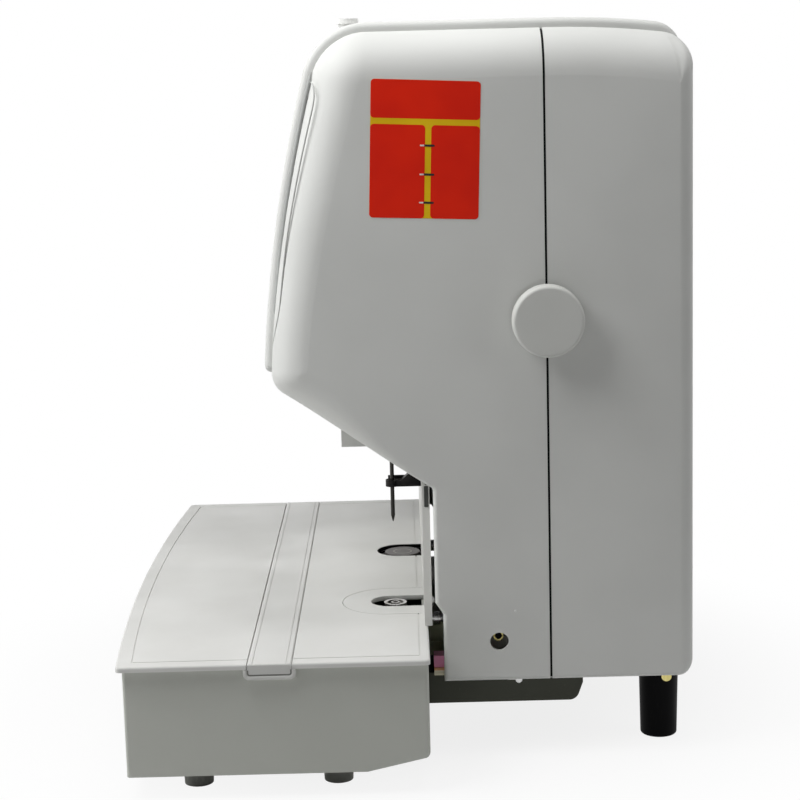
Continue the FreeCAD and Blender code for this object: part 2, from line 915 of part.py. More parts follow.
# ---- drilling head ----
carriage_low_x = -80.0
carriage_high_x = 26.0
carriage_front_y = -22.0
carriage_rear_y = 66.0
drill_rod_radius = 5.0
drill_rod_spread = 24.0
drill_rod_y = 38.0
spindle_radius = 6.0
spindle_collar_rim = 4.0
spindle_collar_height = 7.7
chuck_radius = 8.0
chuck_lift = 3.0
chuck_height = 25.0
chuck_nose_taper = 3.0
chuck_nose_height = 8.0
chuck_grip_roof = 4.0
chuck_port_gap = 3.0
drill_radius = 3.0
drill_bore = 2.2
drill_edge = 0.15
drill_tip_height = 1.6
drill_tip_z = table_top_z + drill_travel
chuck_bottom_z = guide_top_z + chuck_lift
chuck_top_z = chuck_bottom_z + chuck_height
spindle_pulley_radius = 14.0
motor_pulley_radius = 10.0
belt_thickness = 1.6
belt_edge_gap = 1.0
drill_motor_x = 4.0
drill_motor_y = 8.0
drill_motor_radius = 20.0
motor_shaft_radius = 3.0
motor_socket = 12.0
motor_shaft_end_gap = 0.3

# ---- feed drive ----
gear_module = 1.5
pinion_teeth = 16
feed_gear_teeth = 40
motor_gear_teeth = 16
tooth_dip = 1.25
tooth_root_share = 0.33
gear_tip_share = 0.1155
rack_tip_share = 0.12
pinion_width = 12.0
gear_width = 8.0
feed_gear_x = 34.0
rack_length = 84.0
rack_below_carriage = 40.0
feed_motor_rise = 29.4
feed_motor_radius = 18.0
feed_motor_length = 50.0
feed_motor_socket = 8.0
feed_motor_shaft = 12.0
bracket_thickness = 4.0
bracket_half_height = 22.0
bracket_front = 21.0
bracket_hole_gap = 2.0
bearing_wall = 3.0
bearing_proud = 2.0
shaft_end = 1.0

# ---- riveting head ----
press_bottom_z = 300.0
press_height = 25.0
press_half_width = 23.0
press_front_y = -14.0
press_rear_y = 48.0
press_rod_radius = 4.0
press_rod_spread = 15.0
screw_y = 35.0
screw_radius = 4.0
screw_top = 12.0
screw_end_gap = 0.3
needle_radius = 1.25
needle_tip_radius = 0.25
needle_tip_length = 4.0
needle_holder_radius = 4.0
needle_holder_low_z = 176.0
needle_socket = 20.0
rivet_travel = 72.0
arm_low_gap = 1.0
arm_bar_low_z = table_top_z + arm_low_gap + rivet_travel
arm_bar_height = 4.0
arm_bar_half_width = 3.0
arm_bar_post_half_width = 5.0
arm_hump = 3.5
arm_hump_start_y = 0.0
arm_hump_front_y = 4.0
arm_hump_rear_y = 9.0
arm_ring_radius = 4.0
arm_web_half_width = 6.0
arm_web_front_y = 10.0
arm_web_rise = 1.5
prong_width = 1.5
prong_front_y = -8.0
prong_drop = 0.5
needle_clearance = 0.35


def plan_face(side_inset, front_inset, rear_inset, z):
    """Plan outline of the table with its bowed front edge."""
    half = table_width / 2 - side_inset
    rear = table_rear_y - rear_inset
    front = table_rear_y - table_side_depth + front_inset
    rear_left = vec(-half, rear, z)
    rear_right = vec(half, rear, z)
    front_right = vec(half, front, z)
    front_left = vec(-half, front, z)
    bow = Part.Arc(front_right, vec(0, front - table_front_bulge, z), front_left).toShape()
    edges = [Part.makeLine(rear_left, rear_right), Part.makeLine(rear_right, front_right), bow,
             Part.makeLine(front_left, rear_left)]
    return Part.Face(Part.Wire(edges))


def plan_block(side_inset, front_inset, rear_inset, z0, z1):
    return plan_face(side_inset, front_inset, rear_inset, z0).extrude(vec(0, 0, z1 - z0))


def heel_z(y):
    """Underside height of the base, which rises behind the heel."""
    rise = base_heel_rise / (table_rear_y - base_rear_inset - base_heel_y)
    return base_bottom_z + max(0.0, y - base_heel_y) * rise


def below_base(drop):
    """Everything under the base's underside, moved down by drop."""
    rear = table_rear_y + base_heel_length
    points = [(-far, base_bottom_z - drop), (base_heel_y, base_bottom_z - drop), (rear, heel_z(rear) - drop),
              (rear, -far), (-far, -far)]
    return prism_x(points, -far, far)


def panel_line():
    """Groove that runs round the table near its edge."""
    width = panel_line_width
    low = table_top_z - panel_line_depth
    outer = plan_block(panel_line_side, panel_line_front, panel_line_rear, low, far)
    inner = plan_block(panel_line_side + width, panel_line_front + width, panel_line_rear + width, low, far)
    return outer.cut(inner)


def station_slot(half_width, front, z0, z1, x):
    """Slot from a working station back past the table's rear edge."""
    return slot_z(half_width, station_y - front, table_rear_y + past, z0, z1, x)


def strip_span(grow):
    half = strip_width / 2 + grow
    return strip_centre_y - half, strip_centre_y + half


def table_top():
    low = table_top_z - lid_thickness
    over = table_top_z + past
    lid = plan_block(0, 0, 0, low, table_top_z)
    lid = round_edges(lid, lid_corner_radius, upright)
    lid = round_edges(lid, lid_edge_round, lambda edge: edge.BoundBox.ZMin > table_top_z - same)
    ledge_z = table_top_z - strip_thickness
    strip_y0, strip_y1 = strip_span(strip_fit_gap)
    side = table_width / 2
    rim = past + rivet_slot_half_width
    tools = [panel_line(), box(-far, far, strip_y0, strip_y1, ledge_z, over),
             box(side - strip_thickness, far, strip_y0, strip_y1, low - past, over),
             station_slot(pad_slot_half_width, pad_slot_front, low - past, over, drill_x),
             station_slot(insert_half_width + insert_gap, insert_front + insert_gap, ledge_z, over, rivet_x),
             station_slot(rim, rivet_slot_front + past, low - past, table_top_z, rivet_x)]
    return solids_of(cut(lid, tools))


def at_strip_fold(edge):
    """True for the upper edge at either end of the strip."""
    ends = edge.Vertexes
    return all(abs(abs(end.X) - table_width / 2) < same and abs(end.Z - table_top_z) < same for end in ends)


def table_strip():
    side = table_width / 2
    y0, y1 = strip_span(0.0)
    half_line = strip_line_width / 2
    flat = box(-side, side, y0, y1, table_top_z - strip_thickness, table_top_z)
    leg = box(side - strip_thickness, side, y0, y1, table_top_z - strip_drop, table_top_z)
    strip = flat.fuse(leg).removeSplitter()
    strip = round_edges(strip, strip_fold_round, at_strip_fold)
    lines = [box(-far, far, y - half_line, y + half_line, table_top_z - strip_line_depth, far)
             for y in (y0 + strip_line_inset, y1 - strip_line_inset)]
    return cut(strip, lines)


def rivet_insert():
    low = table_top_z - strip_thickness
    tip_y = station_y - insert_front
    plate = slot_z(insert_half_width, tip_y, table_rear_y, low, table_top_z, rivet_x)
    return plate.cut(station_slot(rivet_slot_half_width, rivet_slot_front, 0, far, rivet_x))


def arm_window(top_gap):
    """Opening that the lower arm passes through."""
    gap = arm_window_gap
    return box(arm_low_x - gap, arm_high_x + gap, 0, frame_front_y + past, chassis_z - gap,
               chassis_top_z + arm_thickness + top_gap)


def base_cover():
    top = table_top_z - lid_thickness
    wall = base_wall
    outer = plan_block(base_side_inset, base_end_inset, base_rear_inset, base_bottom_z, top)
    outer = round_edges(outer, base_corner_radius, upright)
    inner = plan_block(base_side_inset + wall, base_end_inset + wall, base_rear_inset + wall, 0, far)
    rim_half = strip_rim_width / 2
    side = table_width / 2
    rim = box(side - base_side_inset, side - strip_thickness, strip_centre_y - rim_half,
              strip_centre_y + rim_half, table_top_z - strip_drop, top)
    window = arm_window(arm_window_gap)
    well_half = pad_slot_half_width + well_wall + free_gap
    notch = box(drill_x - well_half, drill_x + well_half, 0, far, window.BoundBox.ZMax - past, far)
    return cut(outer, [inner, below_base(0.0), window, notch]).fuse(rim).removeSplitter()


def base_floor():
    wall = base_wall
    inner = plan_block(base_side_inset + wall, base_end_inset + wall, base_rear_inset + wall, base_bottom_z,
                       table_top_z - lid_thickness)
    sheet = inner.common(below_base(-base_floor_thickness))
    return sheet.cut(below_base(0.0))


def front_feet():
    feet = []
    for x in (-foot_x, foot_x):
        for y in (foot_front_y, foot_rear_y):
            foot = Part.makeCone(foot_radius - foot_taper, foot_radius, base_bottom_z, vec(x, y, 0))
            feet.append(foot.cut(rod_z(foot_hole_radius, -past, foot_hole_depth, x, y)))
    return Part.makeCompound(feet)


def leg_cone(x):
    return Part.makeCone(leg_foot_radius, leg_radius, chassis_z, vec(x, leg_y, 0))


def rear_legs():
    legs = []
    for x in (-leg_x, leg_x):
        leg = leg_cone(x)
        rim = edges_where(leg, lambda edge: edge.BoundBox.ZMax < same)
        legs.append(leg.makeFillet(leg_round, rim))
    return Part.makeCompound(legs)


def side_rod(radius, side, start, length, y, z):
    """A rod along X that starts at |X| = start and runs outwards on one side."""
    inner = side * start
    outer = side * (start + length)
    return rod_x(radius, min(inner, outer), max(inner, outer), y, z)


def leg_nuts():
    nuts = []
    start = leg_x + leg_radius - leg_nut_sink
    for side in (-1, 1):
        nut = side_rod(leg_nut_radius, side, start, leg_nut_length, leg_y + leg_nut_offset_y, leg_nut_z)
        nuts.append(nut.cut(leg_cone(side * leg_x)))
    return nuts


def chassis_plate():
    half = chassis_half_width
    return box(-half, half, chassis_front_y, chassis_rear_y, chassis_z, chassis_top_z)


def chassis_pan():
    def block(inset, half_width, top):
        front = table_rear_y - base_rear_inset + inset
        low = pan_bottom_z + inset
        rear = pan_rear_y - inset
        toe_y = rear - pan_slope
        points = [(front, low), (toe_y, low), (rear, low + pan_slope_height), (rear, top), (front, top)]
        solid = prism_x(points, -half_width, half_width)
        return solid.makeFillet(pan_round - inset, cross_edge(solid, (toe_y, low), half_width))
    outer = block(0.0, pan_half_width, chassis_z)
    return outer.cut(block(pan_wall, pan_half_width - pan_wall, chassis_z + past))


def frame_side_plate(side):
    """Side plate with a forward arm into the head; the left one has a shelf for the chip drawer."""
    points = [(frame_front_y, chassis_top_z), (frame_rear_y, chassis_top_z), (frame_rear_y, crown_top_z),
              (frame_crown_y, crown_top_z), (frame_arm_front_y, frame_arm_high_z),
              (frame_arm_front_y, frame_arm_low_z), (frame_toe_y, frame_toe_z),
              (frame_front_y, frame_throat_z)]
    x0 = side * frame_plate_x
    x1 = side * frame_plate_outer_x
    plate = prism_x(points, min(x0, x1), max(x0, x1))
    plate = plate.cut(rod_x(feed_shaft_radius + bearing_wall, -far, far, feed_axis_y, feed_axis_z))
    if side < 0:
        y0 = chip_box_y - chip_box_half_depth - free_gap
        y1 = chip_box_y + chip_box_half_depth + free_gap
        shelf_z = chip_box_low_z - shelf_gap
        plate = plate.cut(box(-far, 0, y0, y1, shelf_z, chip_box_high_z + free_gap))
        shelf = box(shell_wall + past - head_half_width, chip_box_length - head_half_width + past, y0, y1,
                    shelf_z - shelf_thickness, shelf_z)
        plate = plate.fuse(shelf).removeSplitter()
    return plate


def shaft_bearings():
    rings = []
    radius = feed_shaft_radius + bearing_wall
    length = frame_plate_thickness + bearing_proud
    bore = rod_x(feed_shaft_radius + running_gap, -far, far, feed_axis_y, feed_axis_z)
    for side in (-1, 1):
        ring = side_rod(radius, side, frame_plate_x, length, feed_axis_y, feed_axis_z)
        rings.append(ring.cut(bore))
    return rings


def guide_plate():
    half = frame_plate_x
    post = arm_bar_post_half_width + past
    plate = box(-half, half, guide_plate_front_y, guide_plate_rear_y, guide_plate_z, guide_top_z)
    tools = [rod_z(chuck_radius + chuck_port_gap, 0, far, drill_x, station_y),
             rod_z(needle_holder_radius + guide_hole_gap, 0, far, rivet_x, station_y),
             box(rivet_x - post, rivet_x + post, bar_front_y - past, bar_rear_y + past, 0, far)]
    return cut(plate, tools)


def crown_plate():
    half = frame_plate_x
    plate = box(-half, half, crown_plate_front_y, crown_plate_rear_y, crown_plate_z, crown_top_z)
    return plate.cut(rod_z(screw_radius + running_gap, 0, far, rivet_x, screw_y))


def rear_cross_plate():
    half = frame_plate_x
    plate = box(-half, half, frame_rear_y - rear_plate_thick, frame_rear_y, chassis_top_z, crown_plate_z)
    opening = half - rear_opening_side
    return plate.cut(box(-opening, opening, 0, far, rear_opening_low_z, rear_opening_high_z))


def rod_pair(radius, x, spread, y, z0, z1):
    return [rod_z(radius, z0, z1, x - spread, y), rod_z(radius, z0, z1, x + spread, y)]


def guide_rods():
    rods = rod_pair(drill_rod_radius, drill_x, drill_rod_spread, drill_rod_y, guide_top_z, crown_plate_z)
    rods += rod_pair(press_rod_radius, rivet_x, press_rod_spread, screw_y, guide_top_z, crown_plate_z)
    return Part.makeCompound(rods)


def inner_cover():
    half = frame_plate_outer_x
    front = frame_front_y - inner_cover_thickness
    sheet = box(-half, half, front, frame_front_y, chassis_top_z, inner_cover_top_z)
    return sheet.cut(arm_window(arm_window_gap))


def fence_plate():
    """Paper stop behind the stations, with turned side edges and two lugs to the frame."""
    rear = fence_y + fence_thickness
    half = fence_half_width
    lug = fence_lug_half_width
    slot_half = fence_slot_half
    wall = box(-half, half, fence_y, rear, table_top_z, fence_top_z)
    lugs = [box(x - lug, x + lug, rear, frame_front_y - inner_cover_thickness, fence_lug_low_z,
                fence_lug_low_z + fence_lug_height) for x in (-fence_lug_x, fence_lug_x)]
    returns = [box(x, x + fence_return_thickness, rear, rear + fence_return_depth, table_top_z, fence_top_z)
               for x in (-half, half - fence_return_thickness)]
    slot = box(rivet_x - slot_half, rivet_x + slot_half, 0, rear + past, 0, fence_top_z - fence_slot_bridge)
    return fuse([wall] + lugs + returns).cut(slot)


def needle_hole():
    return rod_z(needle_radius + needle_clearance, 0, far, rivet_x, station_y)


def lower_arm():
    arm = box(arm_low_x, arm_high_x, arm_front_y, arm_rear_y, chassis_top_z, chassis_top_z + arm_thickness)
    return arm.cut(needle_hole())


def pad_centre_y():
    return station_y + pad_offset_y


def pad_low_z():
    return table_top_z - pad_below_top - pad_thickness


def cutting_pad():
    low = pad_low_z()
    top = low + pad_thickness
    pad = rod_z(pad_radius, low, top, drill_x, pad_centre_y())
    rim = edges_where(pad, lambda edge: len(edge.Vertexes) == 1 and edge.BoundBox.ZMin > top - same)
    pad = pad.makeFillet(pad_round, rim)
    stem = rod_z(pad_stem_radius, low - pad_stem_length, low, drill_x, pad_centre_y())
    return pad.fuse(stem).removeSplitter()


def pad_holder():
    low = chassis_top_z + arm_thickness
    floor = pad_low_z() - holder_gap
    stem_low = pad_low_z() - pad_stem_length - stem_end_gap
    y = pad_centre_y()
    body = rod_z(pad_radius + holder_wall, low, floor + holder_rise, drill_x, y)
    body = body.cut(rod_z(pad_radius + free_gap, floor, far, drill_x, y))
    return body.cut(rod_z(pad_stem_radius + running_gap, stem_low, far, drill_x, y))


def pad_well():
    """Dark tray under the open slot round the pad."""
    top = table_top_z - lid_thickness
    low = top - well_depth
    rear = table_rear_y - well_rear_gap
    tip_y = station_y - pad_slot_front
    gap = well_side_gap
    body = slot_z(pad_slot_half_width + well_wall, tip_y - well_wall, rear, low, top, drill_x)
    half = pad_slot_half_width + gap
    inner = slot_z(half, tip_y - gap, rear - well_rear_wall, low + well_floor, far, drill_x)
    return cut(body, [inner, rod_z(pad_radius + holder_wall + running_gap, 0, far, drill_x, pad_centre_y())])


def crown_die_top():
    return table_top_z - crown_die_below


def die_block():
    half = die_half_width
    low = chassis_top_z + arm_thickness
    top = crown_die_top() - crown_die_height
    block = box(rivet_x - half, rivet_x + half, die_front_y, die_rear_y, low, top)
    return block.cut(needle_hole())


def crown_die():
    """Round die with a ring groove that rolls the tube's lower end over."""
    top = crown_die_top()
    low = top - crown_groove_depth
    die = rod_z(crown_die_radius, top - crown_die_height, top, rivet_x, station_y)
    groove = rod_z(crown_groove_outer, low, far, rivet_x, station_y)
    groove = groove.cut(rod_z(crown_groove_inner, 0, far, rivet_x, station_y))
    return cut(die, [groove, needle_hole()])


def table_bolt_rods():
    """Bolts that hold the base to the column, each with a collar in the gap."""
    y0 = table_rear_y - base_rear_inset
    y1 = frame_front_y - inner_cover_thickness
    collar = y0 + bolt_collar_start
    bolts = []
    for x in (-bolt_x, bolt_x):
        shank = rod_y(bolt_radius, y0, y1, x, bolt_z)
        ring = rod_y(bolt_collar_radius, collar, collar + bolt_collar_length, x, bolt_z)
        bolts.append(shank.fuse(ring).removeSplitter())
    return bolts


def terminal_board():
    inner_x = frame_plate_outer_x + terminal_gap
    return box(inner_x, chassis_half_width, chassis_front_y, terminal_board_rear_y, chassis_top_z,
               chassis_top_z + board_thickness)


def terminal_block():
    low = chassis_top_z + board_thickness
    inner = frame_plate_outer_x + terminal_gap + terminal_block_inset
    return box(inner, chassis_half_width - terminal_block_end, chassis_front_y, terminal_block_rear_y, low,
               low + terminal_block_height)


def adjuster_screw():
    """Slotted screw on the right frame plate, reached through the access hole."""
    half = adjuster_slot_width / 2
    x0 = frame_plate_outer_x
    x1 = x0 + adjuster_length
    screw = rod_x(adjuster_radius, x0, x1, access_y, access_z)
    return screw.cut(box(x1 - adjuster_slot_depth, x1 + past, 0, far, access_z - half, access_z + half))


def casing_clips():
    """Tabs under the chassis plate, seen below the casing's lower edge."""
    inner = chassis_half_width - clip_reach_in
    outer = chassis_half_width + clip_reach_out
    rear = clip_front_y + clip_width
    low = chassis_z - clip_drop
    return [box(x0, x1, clip_front_y, rear, low, chassis_z) for x0, x1 in ((-outer, -inner), (inner, outer))]


# ---- moving pieces: drilling ----


def rack_pitch_y():
    return feed_axis_y - gear_module * pinion_teeth / 2


def spindle_bore(radius):
    return rod_z(radius, 0, far, drill_x, station_y)


def drill_carriage():
    """Slide block that carries the spindle and its motor."""
    block = box(carriage_low_x, carriage_high_x, carriage_front_y, carriage_rear_y, carriage_bottom_z,
                carriage_top_z)
    tools = rod_pair(drill_rod_radius + running_gap, drill_x, drill_rod_spread, drill_rod_y, 0, far)
    tools.append(spindle_bore(spindle_radius + running_gap))
    tools.append(rod_z(motor_shaft_radius + running_gap, 0, far, drill_motor_x, drill_motor_y))
    return cut(block, tools)


def pulley(radius, x, y):
    return rod_z(radius, pulley_low_z, pulley_low_z + pulley_height, x, y)


def spindle():
    """Spindle with its chuck, pulley and top collar, hollow for the paper chips."""
    collar_low = carriage_top_z + seat_gap
    top = collar_low + spindle_collar_height
    nose_top = chuck_bottom_z + chuck_nose_height
    nose = Part.makeCone(chuck_radius - chuck_nose_taper, chuck_radius, chuck_nose_height,
                         vec(drill_x, station_y, chuck_bottom_z))
    parts = [rod_z(spindle_radius, chuck_top_z, top, drill_x, station_y),
             rod_z(spindle_radius + spindle_collar_rim, collar_low, top, drill_x, station_y),
             pulley(spindle_pulley_radius, drill_x, station_y), nose,
             rod_z(chuck_radius, nose_top, chuck_top_z, drill_x, station_y)]
    grip = rod_z(drill_radius, 0, chuck_top_z - chuck_grip_roof, drill_x, station_y)
    return cut(fuse(parts), [grip, spindle_bore(drill_bore)])


def hollow_drill():
    shank_low = drill_tip_z + drill_tip_height
    tip = Part.makeCone(drill_bore + drill_edge, drill_radius, drill_tip_height,
                        vec(drill_x, station_y, drill_tip_z))
    shank = rod_z(drill_radius, shank_low, chuck_top_z - chuck_grip_roof, drill_x, station_y)
    return fuse([tip, shank]).cut(spindle_bore(drill_bore))


def drill_motor():
    top = carriage_top_z + drill_motor_height
    body = rod_z(drill_motor_radius, carriage_top_z, top, drill_motor_x, drill_motor_y)
    socket = rod_z(motor_shaft_radius + running_gap, 0, carriage_top_z + motor_socket, drill_motor_x,
                   drill_motor_y)
    return body.cut(socket)


def drill_motor_shaft():
    top = carriage_top_z + motor_socket - motor_shaft_end_gap
    shaft = rod_z(motor_shaft_radius, pulley_low_z, top, drill_motor_x, drill_motor_y)
    return shaft.fuse(pulley(motor_pulley_radius, drill_motor_x, drill_motor_y)).removeSplitter()


def belt_loop(grow, z0, z1):
    """Prism round both pulleys, wider than them by grow."""
    x1, y1, r1 = drill_x, station_y, spindle_pulley_radius + grow
    x2, y2, r2 = drill_motor_x, drill_motor_y, motor_pulley_radius + grow
    span = math.dist((x1, y1), (x2, y2))
    heading = math.atan2(y2 - y1, x2 - x1)
    swing = math.acos((r1 - r2) / span)
    corners = []
    for x, y, r, sign in ((x1, y1, r1, 1), (x2, y2, r2, 1), (x2, y2, r2, -1), (x1, y1, r1, -1)):
        angle = heading + sign * swing
        corners.append((x + r * math.cos(angle), y + r * math.sin(angle)))
    web = prism_z(corners, z0, z1)
    return fuse([web, rod_z(r1, z0, z1, x1, y1), rod_z(r2, z0, z1, x2, y2)])


def drive_belt():
    z0 = pulley_low_z + belt_edge_gap
    z1 = pulley_low_z + pulley_height - belt_edge_gap
    return belt_loop(belt_thickness, z0, z1).cut(belt_loop(running_gap, z0 - past, z1 + past))


# ---- moving pieces: feed drive ----


def gear_x(teeth, x0, x1, y, z, first_angle, bore):
    """Spur gear along X: trapezoid teeth, the first one centred on first_angle in the Y-Z plane."""
    pitch_radius = gear_module * teeth / 2
    tip = pitch_radius + gear_module
    root = pitch_radius - tooth_dip * gear_module
    step = 2 * math.pi / teeth
    half_root = step * tooth_root_share
    half_tip = step * gear_tip_share
    points = []
    for number in range(teeth):
        middle = first_angle + number * step
        for radius, offset in ((root, -half_root), (tip, -half_tip), (tip, half_tip), (root, half_root)):
            points.append((y + radius * math.cos(middle + offset), z + radius * math.sin(middle + offset)))
    gear = prism_x(points, x0, x1)
    return gear.cut(rod_x(bore, x0 - past, x1 + past, y, z)) if bore else gear


def feed_rack():
    """Rack on the rear face of the carriage, its teeth towards the pinion."""
    pitch_y = rack_pitch_y()
    step = math.pi * gear_module
    root_y = pitch_y - tooth_dip * gear_module
    tip_y = pitch_y + gear_module
    x0 = drill_x - pinion_width / 2
    low = carriage_bottom_z - rack_below_carriage
    high = low + rack_length
    first = int((low - feed_axis_z) / step) + 1
    last = int((high - feed_axis_z) / step) - 1
    root = tooth_root_share * step
    tip = rack_tip_share * step
    points = [(carriage_rear_y, low), (root_y, low)]
    for number in range(first, last + 1):
        z = feed_axis_z + (number + 0.5) * step
        points += [(root_y, z - root), (tip_y, z - tip), (tip_y, z + tip), (root_y, z + root)]
    points += [(root_y, high), (carriage_rear_y, high)]
    return prism_x(points, x0, x0 + pinion_width)


def feed_pinion():
    x0 = drill_x - pinion_width / 2
    return gear_x(pinion_teeth, x0, x0 + pinion_width, feed_axis_y, feed_axis_z, math.pi, feed_shaft_radius)


def feed_motor_place():
    """Axis (y, z) of the feed motor, and its direction from the feed shaft as an angle."""
    centres = gear_module * (feed_gear_teeth + motor_gear_teeth) / 2
    along = math.sqrt(centres ** 2 - feed_motor_rise ** 2)
    return feed_axis_y + along, feed_axis_z + feed_motor_rise, math.atan2(feed_motor_rise, along)


def feed_gear():
    _, _, angle = feed_motor_place()
    return gear_x(feed_gear_teeth, feed_gear_x, feed_gear_x + gear_width, feed_axis_y, feed_axis_z, angle,
                  feed_shaft_radius)


def motor_gear():
    y, z, angle = feed_motor_place()
    gap_first = angle + math.pi + math.pi / motor_gear_teeth
    x1 = feed_gear_x + gear_width
    gear = gear_x(motor_gear_teeth, feed_gear_x, x1, y, z, gap_first, 0)
    return gear.fuse(rod_x(motor_shaft_radius, x1, x1 + feed_motor_shaft, y, z))


def feed_motor_bracket():
    y, z, _ = feed_motor_place()
    half = bracket_half_height
    x0 = feed_gear_x + gear_width + free_gap
    rear = frame_rear_y - rear_plate_thick
    plate = box(x0, x0 + bracket_thickness, y - bracket_front, rear, z - half, z + half)
    return plate.cut(rod_x(motor_shaft_radius + bracket_hole_gap, 0, far, y, z))


def feed_motor():
    y, z, _ = feed_motor_place()
    x0 = feed_gear_x + gear_width + free_gap + bracket_thickness
    body = rod_x(feed_motor_radius, x0, x0 + feed_motor_length, y, z)
    return body.cut(rod_x(motor_shaft_radius + running_gap, 0, x0 + feed_motor_socket, y, z))


def feed_shaft():
    x0 = -frame_plate_outer_x - shaft_end
    x1 = head_half_width + knob_stand_off + knob_socket
    return rod_x(feed_shaft_radius, x0, x1, feed_axis_y, feed_axis_z)


def feed_knob():
    x0 = head_half_width + knob_stand_off
    disc = rod_x(knob_radius, x0, x0 + knob_thickness, feed_axis_y, feed_axis_z)
    rims = edges_where(disc, lambda edge: len(edge.Vertexes) == 1 and edge.BoundBox.XMin > x0 + past)
    disc = disc.makeFillet(knob_round, rims)
    hub = rod_x(knob_hub_radius, head_half_width + free_gap, x0, feed_axis_y, feed_axis_z)
    bore = rod_x(feed_shaft_radius, 0, x0 + knob_socket, feed_axis_y, feed_axis_z)
    return disc.fuse(hub).removeSplitter().cut(bore)


# ---- moving pieces: riveting ----


def press_carriage():
    half = press_half_width
    block = box(rivet_x - half, rivet_x + half, press_front_y, press_rear_y, press_bottom_z,
                press_bottom_z + press_height)
    tools = rod_pair(press_rod_radius + running_gap, rivet_x, press_rod_spread, screw_y, 0, far)
    tools.append(rod_z(screw_radius + running_gap, 0, far, rivet_x, screw_y))
    return cut(block, tools)


def needle_holder():
    body = rod_z(needle_holder_radius, needle_holder_low_z, press_bottom_z, rivet_x, station_y)
    return body.cut(rod_z(needle_radius, 0, needle_holder_low_z + needle_socket, rivet_x, station_y))


def rivet_needle():
    low = table_top_z + throat_capacity + needle_over_stack
    shank_low = low + needle_tip_length
    tip = Part.makeCone(needle_tip_radius, needle_radius, needle_tip_length, vec(rivet_x, station_y, low))
    shank = rod_z(needle_radius, shank_low, needle_holder_low_z + needle_socket, rivet_x, station_y)
    return tip.fuse(shank).removeSplitter()


def press_arm():
    """Black arm behind the fence that reaches forward round the needle, and rides on the press carriage."""
    low = arm_bar_low_z
    top = low + arm_bar_height
    hump = top + arm_hump
    high = top + arm_web_rise
    half = arm_bar_half_width
    post = arm_bar_post_half_width
    web = arm_web_half_width
    prong_x = rivet_x - web + prong_width
    profile = [(station_y, low), (bar_front_y, low), (bar_front_y, top), (arm_hump_rear_y, hump),
               (arm_hump_front_y, hump), (arm_hump_start_y, top), (station_y, top)]
    parts = [prism_x(profile, rivet_x - half, rivet_x + half),
             rod_z(arm_ring_radius, low, top, rivet_x, station_y),
             box(rivet_x - web, prong_x, prong_front_y, bar_front_y, top - prong_drop, high),
             box(rivet_x - post, rivet_x + post, bar_front_y, bar_rear_y, low, press_bottom_z),
             box(rivet_x - web, rivet_x, arm_web_front_y, bar_front_y, low, high)]
    return fuse(parts).cut(needle_hole())


def lead_screw():
    return rod_z(screw_radius, guide_top_z + seat_gap, crown_top_z + screw_top, rivet_x, screw_y)


def rivet_motor():
    socket_top = crown_top_z + screw_top + screw_end_gap
    body = rod_z(rivet_motor_radius, crown_top_z, crown_top_z + rivet_motor_height, rivet_x, screw_y)
    return body.cut(rod_z(screw_radius + running_gap, 0, socket_top, rivet_x, screw_y))


def steel_fasteners():
    return Part.makeCompound(table_bolt_rods() + casing_clips() + screw_holes())


def brass_fittings():
    return Part.makeCompound(leg_nuts() + shaft_bearings() + [adjuster_screw()])


def build():
    whole = casing()
    nodes = {
        "table_top": table_top(),
        "table_strip": table_strip(),
        "rivet_insert": rivet_insert(),
        "base_cover": base_cover(),
        "base_floor": base_floor(),
        "front_feet": front_feet(),
        "rear_legs": rear_legs(),
        "brass_fittings": brass_fittings(),
        "steel_fasteners": steel_fasteners(),
        "chassis_plate": chassis_plate(),
        "chassis_pan": chassis_pan(),
        "frame_plates": Part.makeCompound([frame_side_plate(-1), frame_side_plate(1)]),
        "guide_plates": Part.makeCompound([guide_plate(), crown_plate()]),
        "rear_cross_plate": rear_cross_plate(),
        "guide_rods": guide_rods(),
        "inner_cover": inner_cover(),
        "fence_plate": fence_plate(),
        "lower_arm": lower_arm(),
        "cutting_pad": cutting_pad(),
        "pad_holder": pad_holder(),
        "pad_well": pad_well(),
        "die_block": die_block(),
        "crown_die": crown_die(),
        "terminal_block": terminal_block(),
        "circuit_boards": Part.makeCompound([control_board(), terminal_board()]),
        "front_shell": front_shell(whole),
        "rear_shell": rear_shell(whole),
        "control_overlay": control_overlay(),
        "display_window": display_slab(0.0),
        "status_leds": status_leds(),
        "rear_hatch": rear_hatch(),
        "connector_plate": connector_plate(),
        "power_fittings": Part.makeCompound([mains_inlet(), switch_frame(), fuse_cap()]),
        "switch_rocker": switch_rocker(),
        "tube_inlet": tube_inlet(),
        "lamp_pod": lamp_pod(),
        "lamp_lens": lamp_lens(),
        "chip_box": chip_box(),
        "drill_carriage": drill_carriage(),
        "drill_spindle": spindle(),
        "hollow_drill": hollow_drill(),
        "drill_motor": drill_motor(),
        "drill_motor_shaft": drill_motor_shaft(),
        "drive_belt": drive_belt(),
        "feed_rack": feed_rack(),
        "feed_shaft": feed_shaft(),
        "feed_gears": Part.makeCompound([feed_pinion(), feed_gear()]),
        "feed_knob": feed_knob(),
        "motor_gear": motor_gear(),
        "feed_motor": Part.makeCompound([feed_motor(), feed_motor_bracket()]),
        "press_carriage": press_carriage(),
        "needle_holder": needle_holder(),
        "rivet_needle": rivet_needle(),
        "press_arm": press_arm(),
        "lead_screw": lead_screw(),
        "rivet_motor": rivet_motor(),
    }
    for number, x in enumerate(button_places(), 1):
        nodes["panel_button_" + str(number)] = panel_button(x)
    return nodes


def main():
    os.makedirs("parts", exist_ok=True)
    for name, shape in build().items():
        shape.exportStep("parts/" + name + ".step")
        print(name, len(shape.Solids), "solids", round(shape.Volume), "mm3")


main()
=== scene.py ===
import math

import bmesh
import bpy
import numpy as np
from mathutils import Matrix, Vector


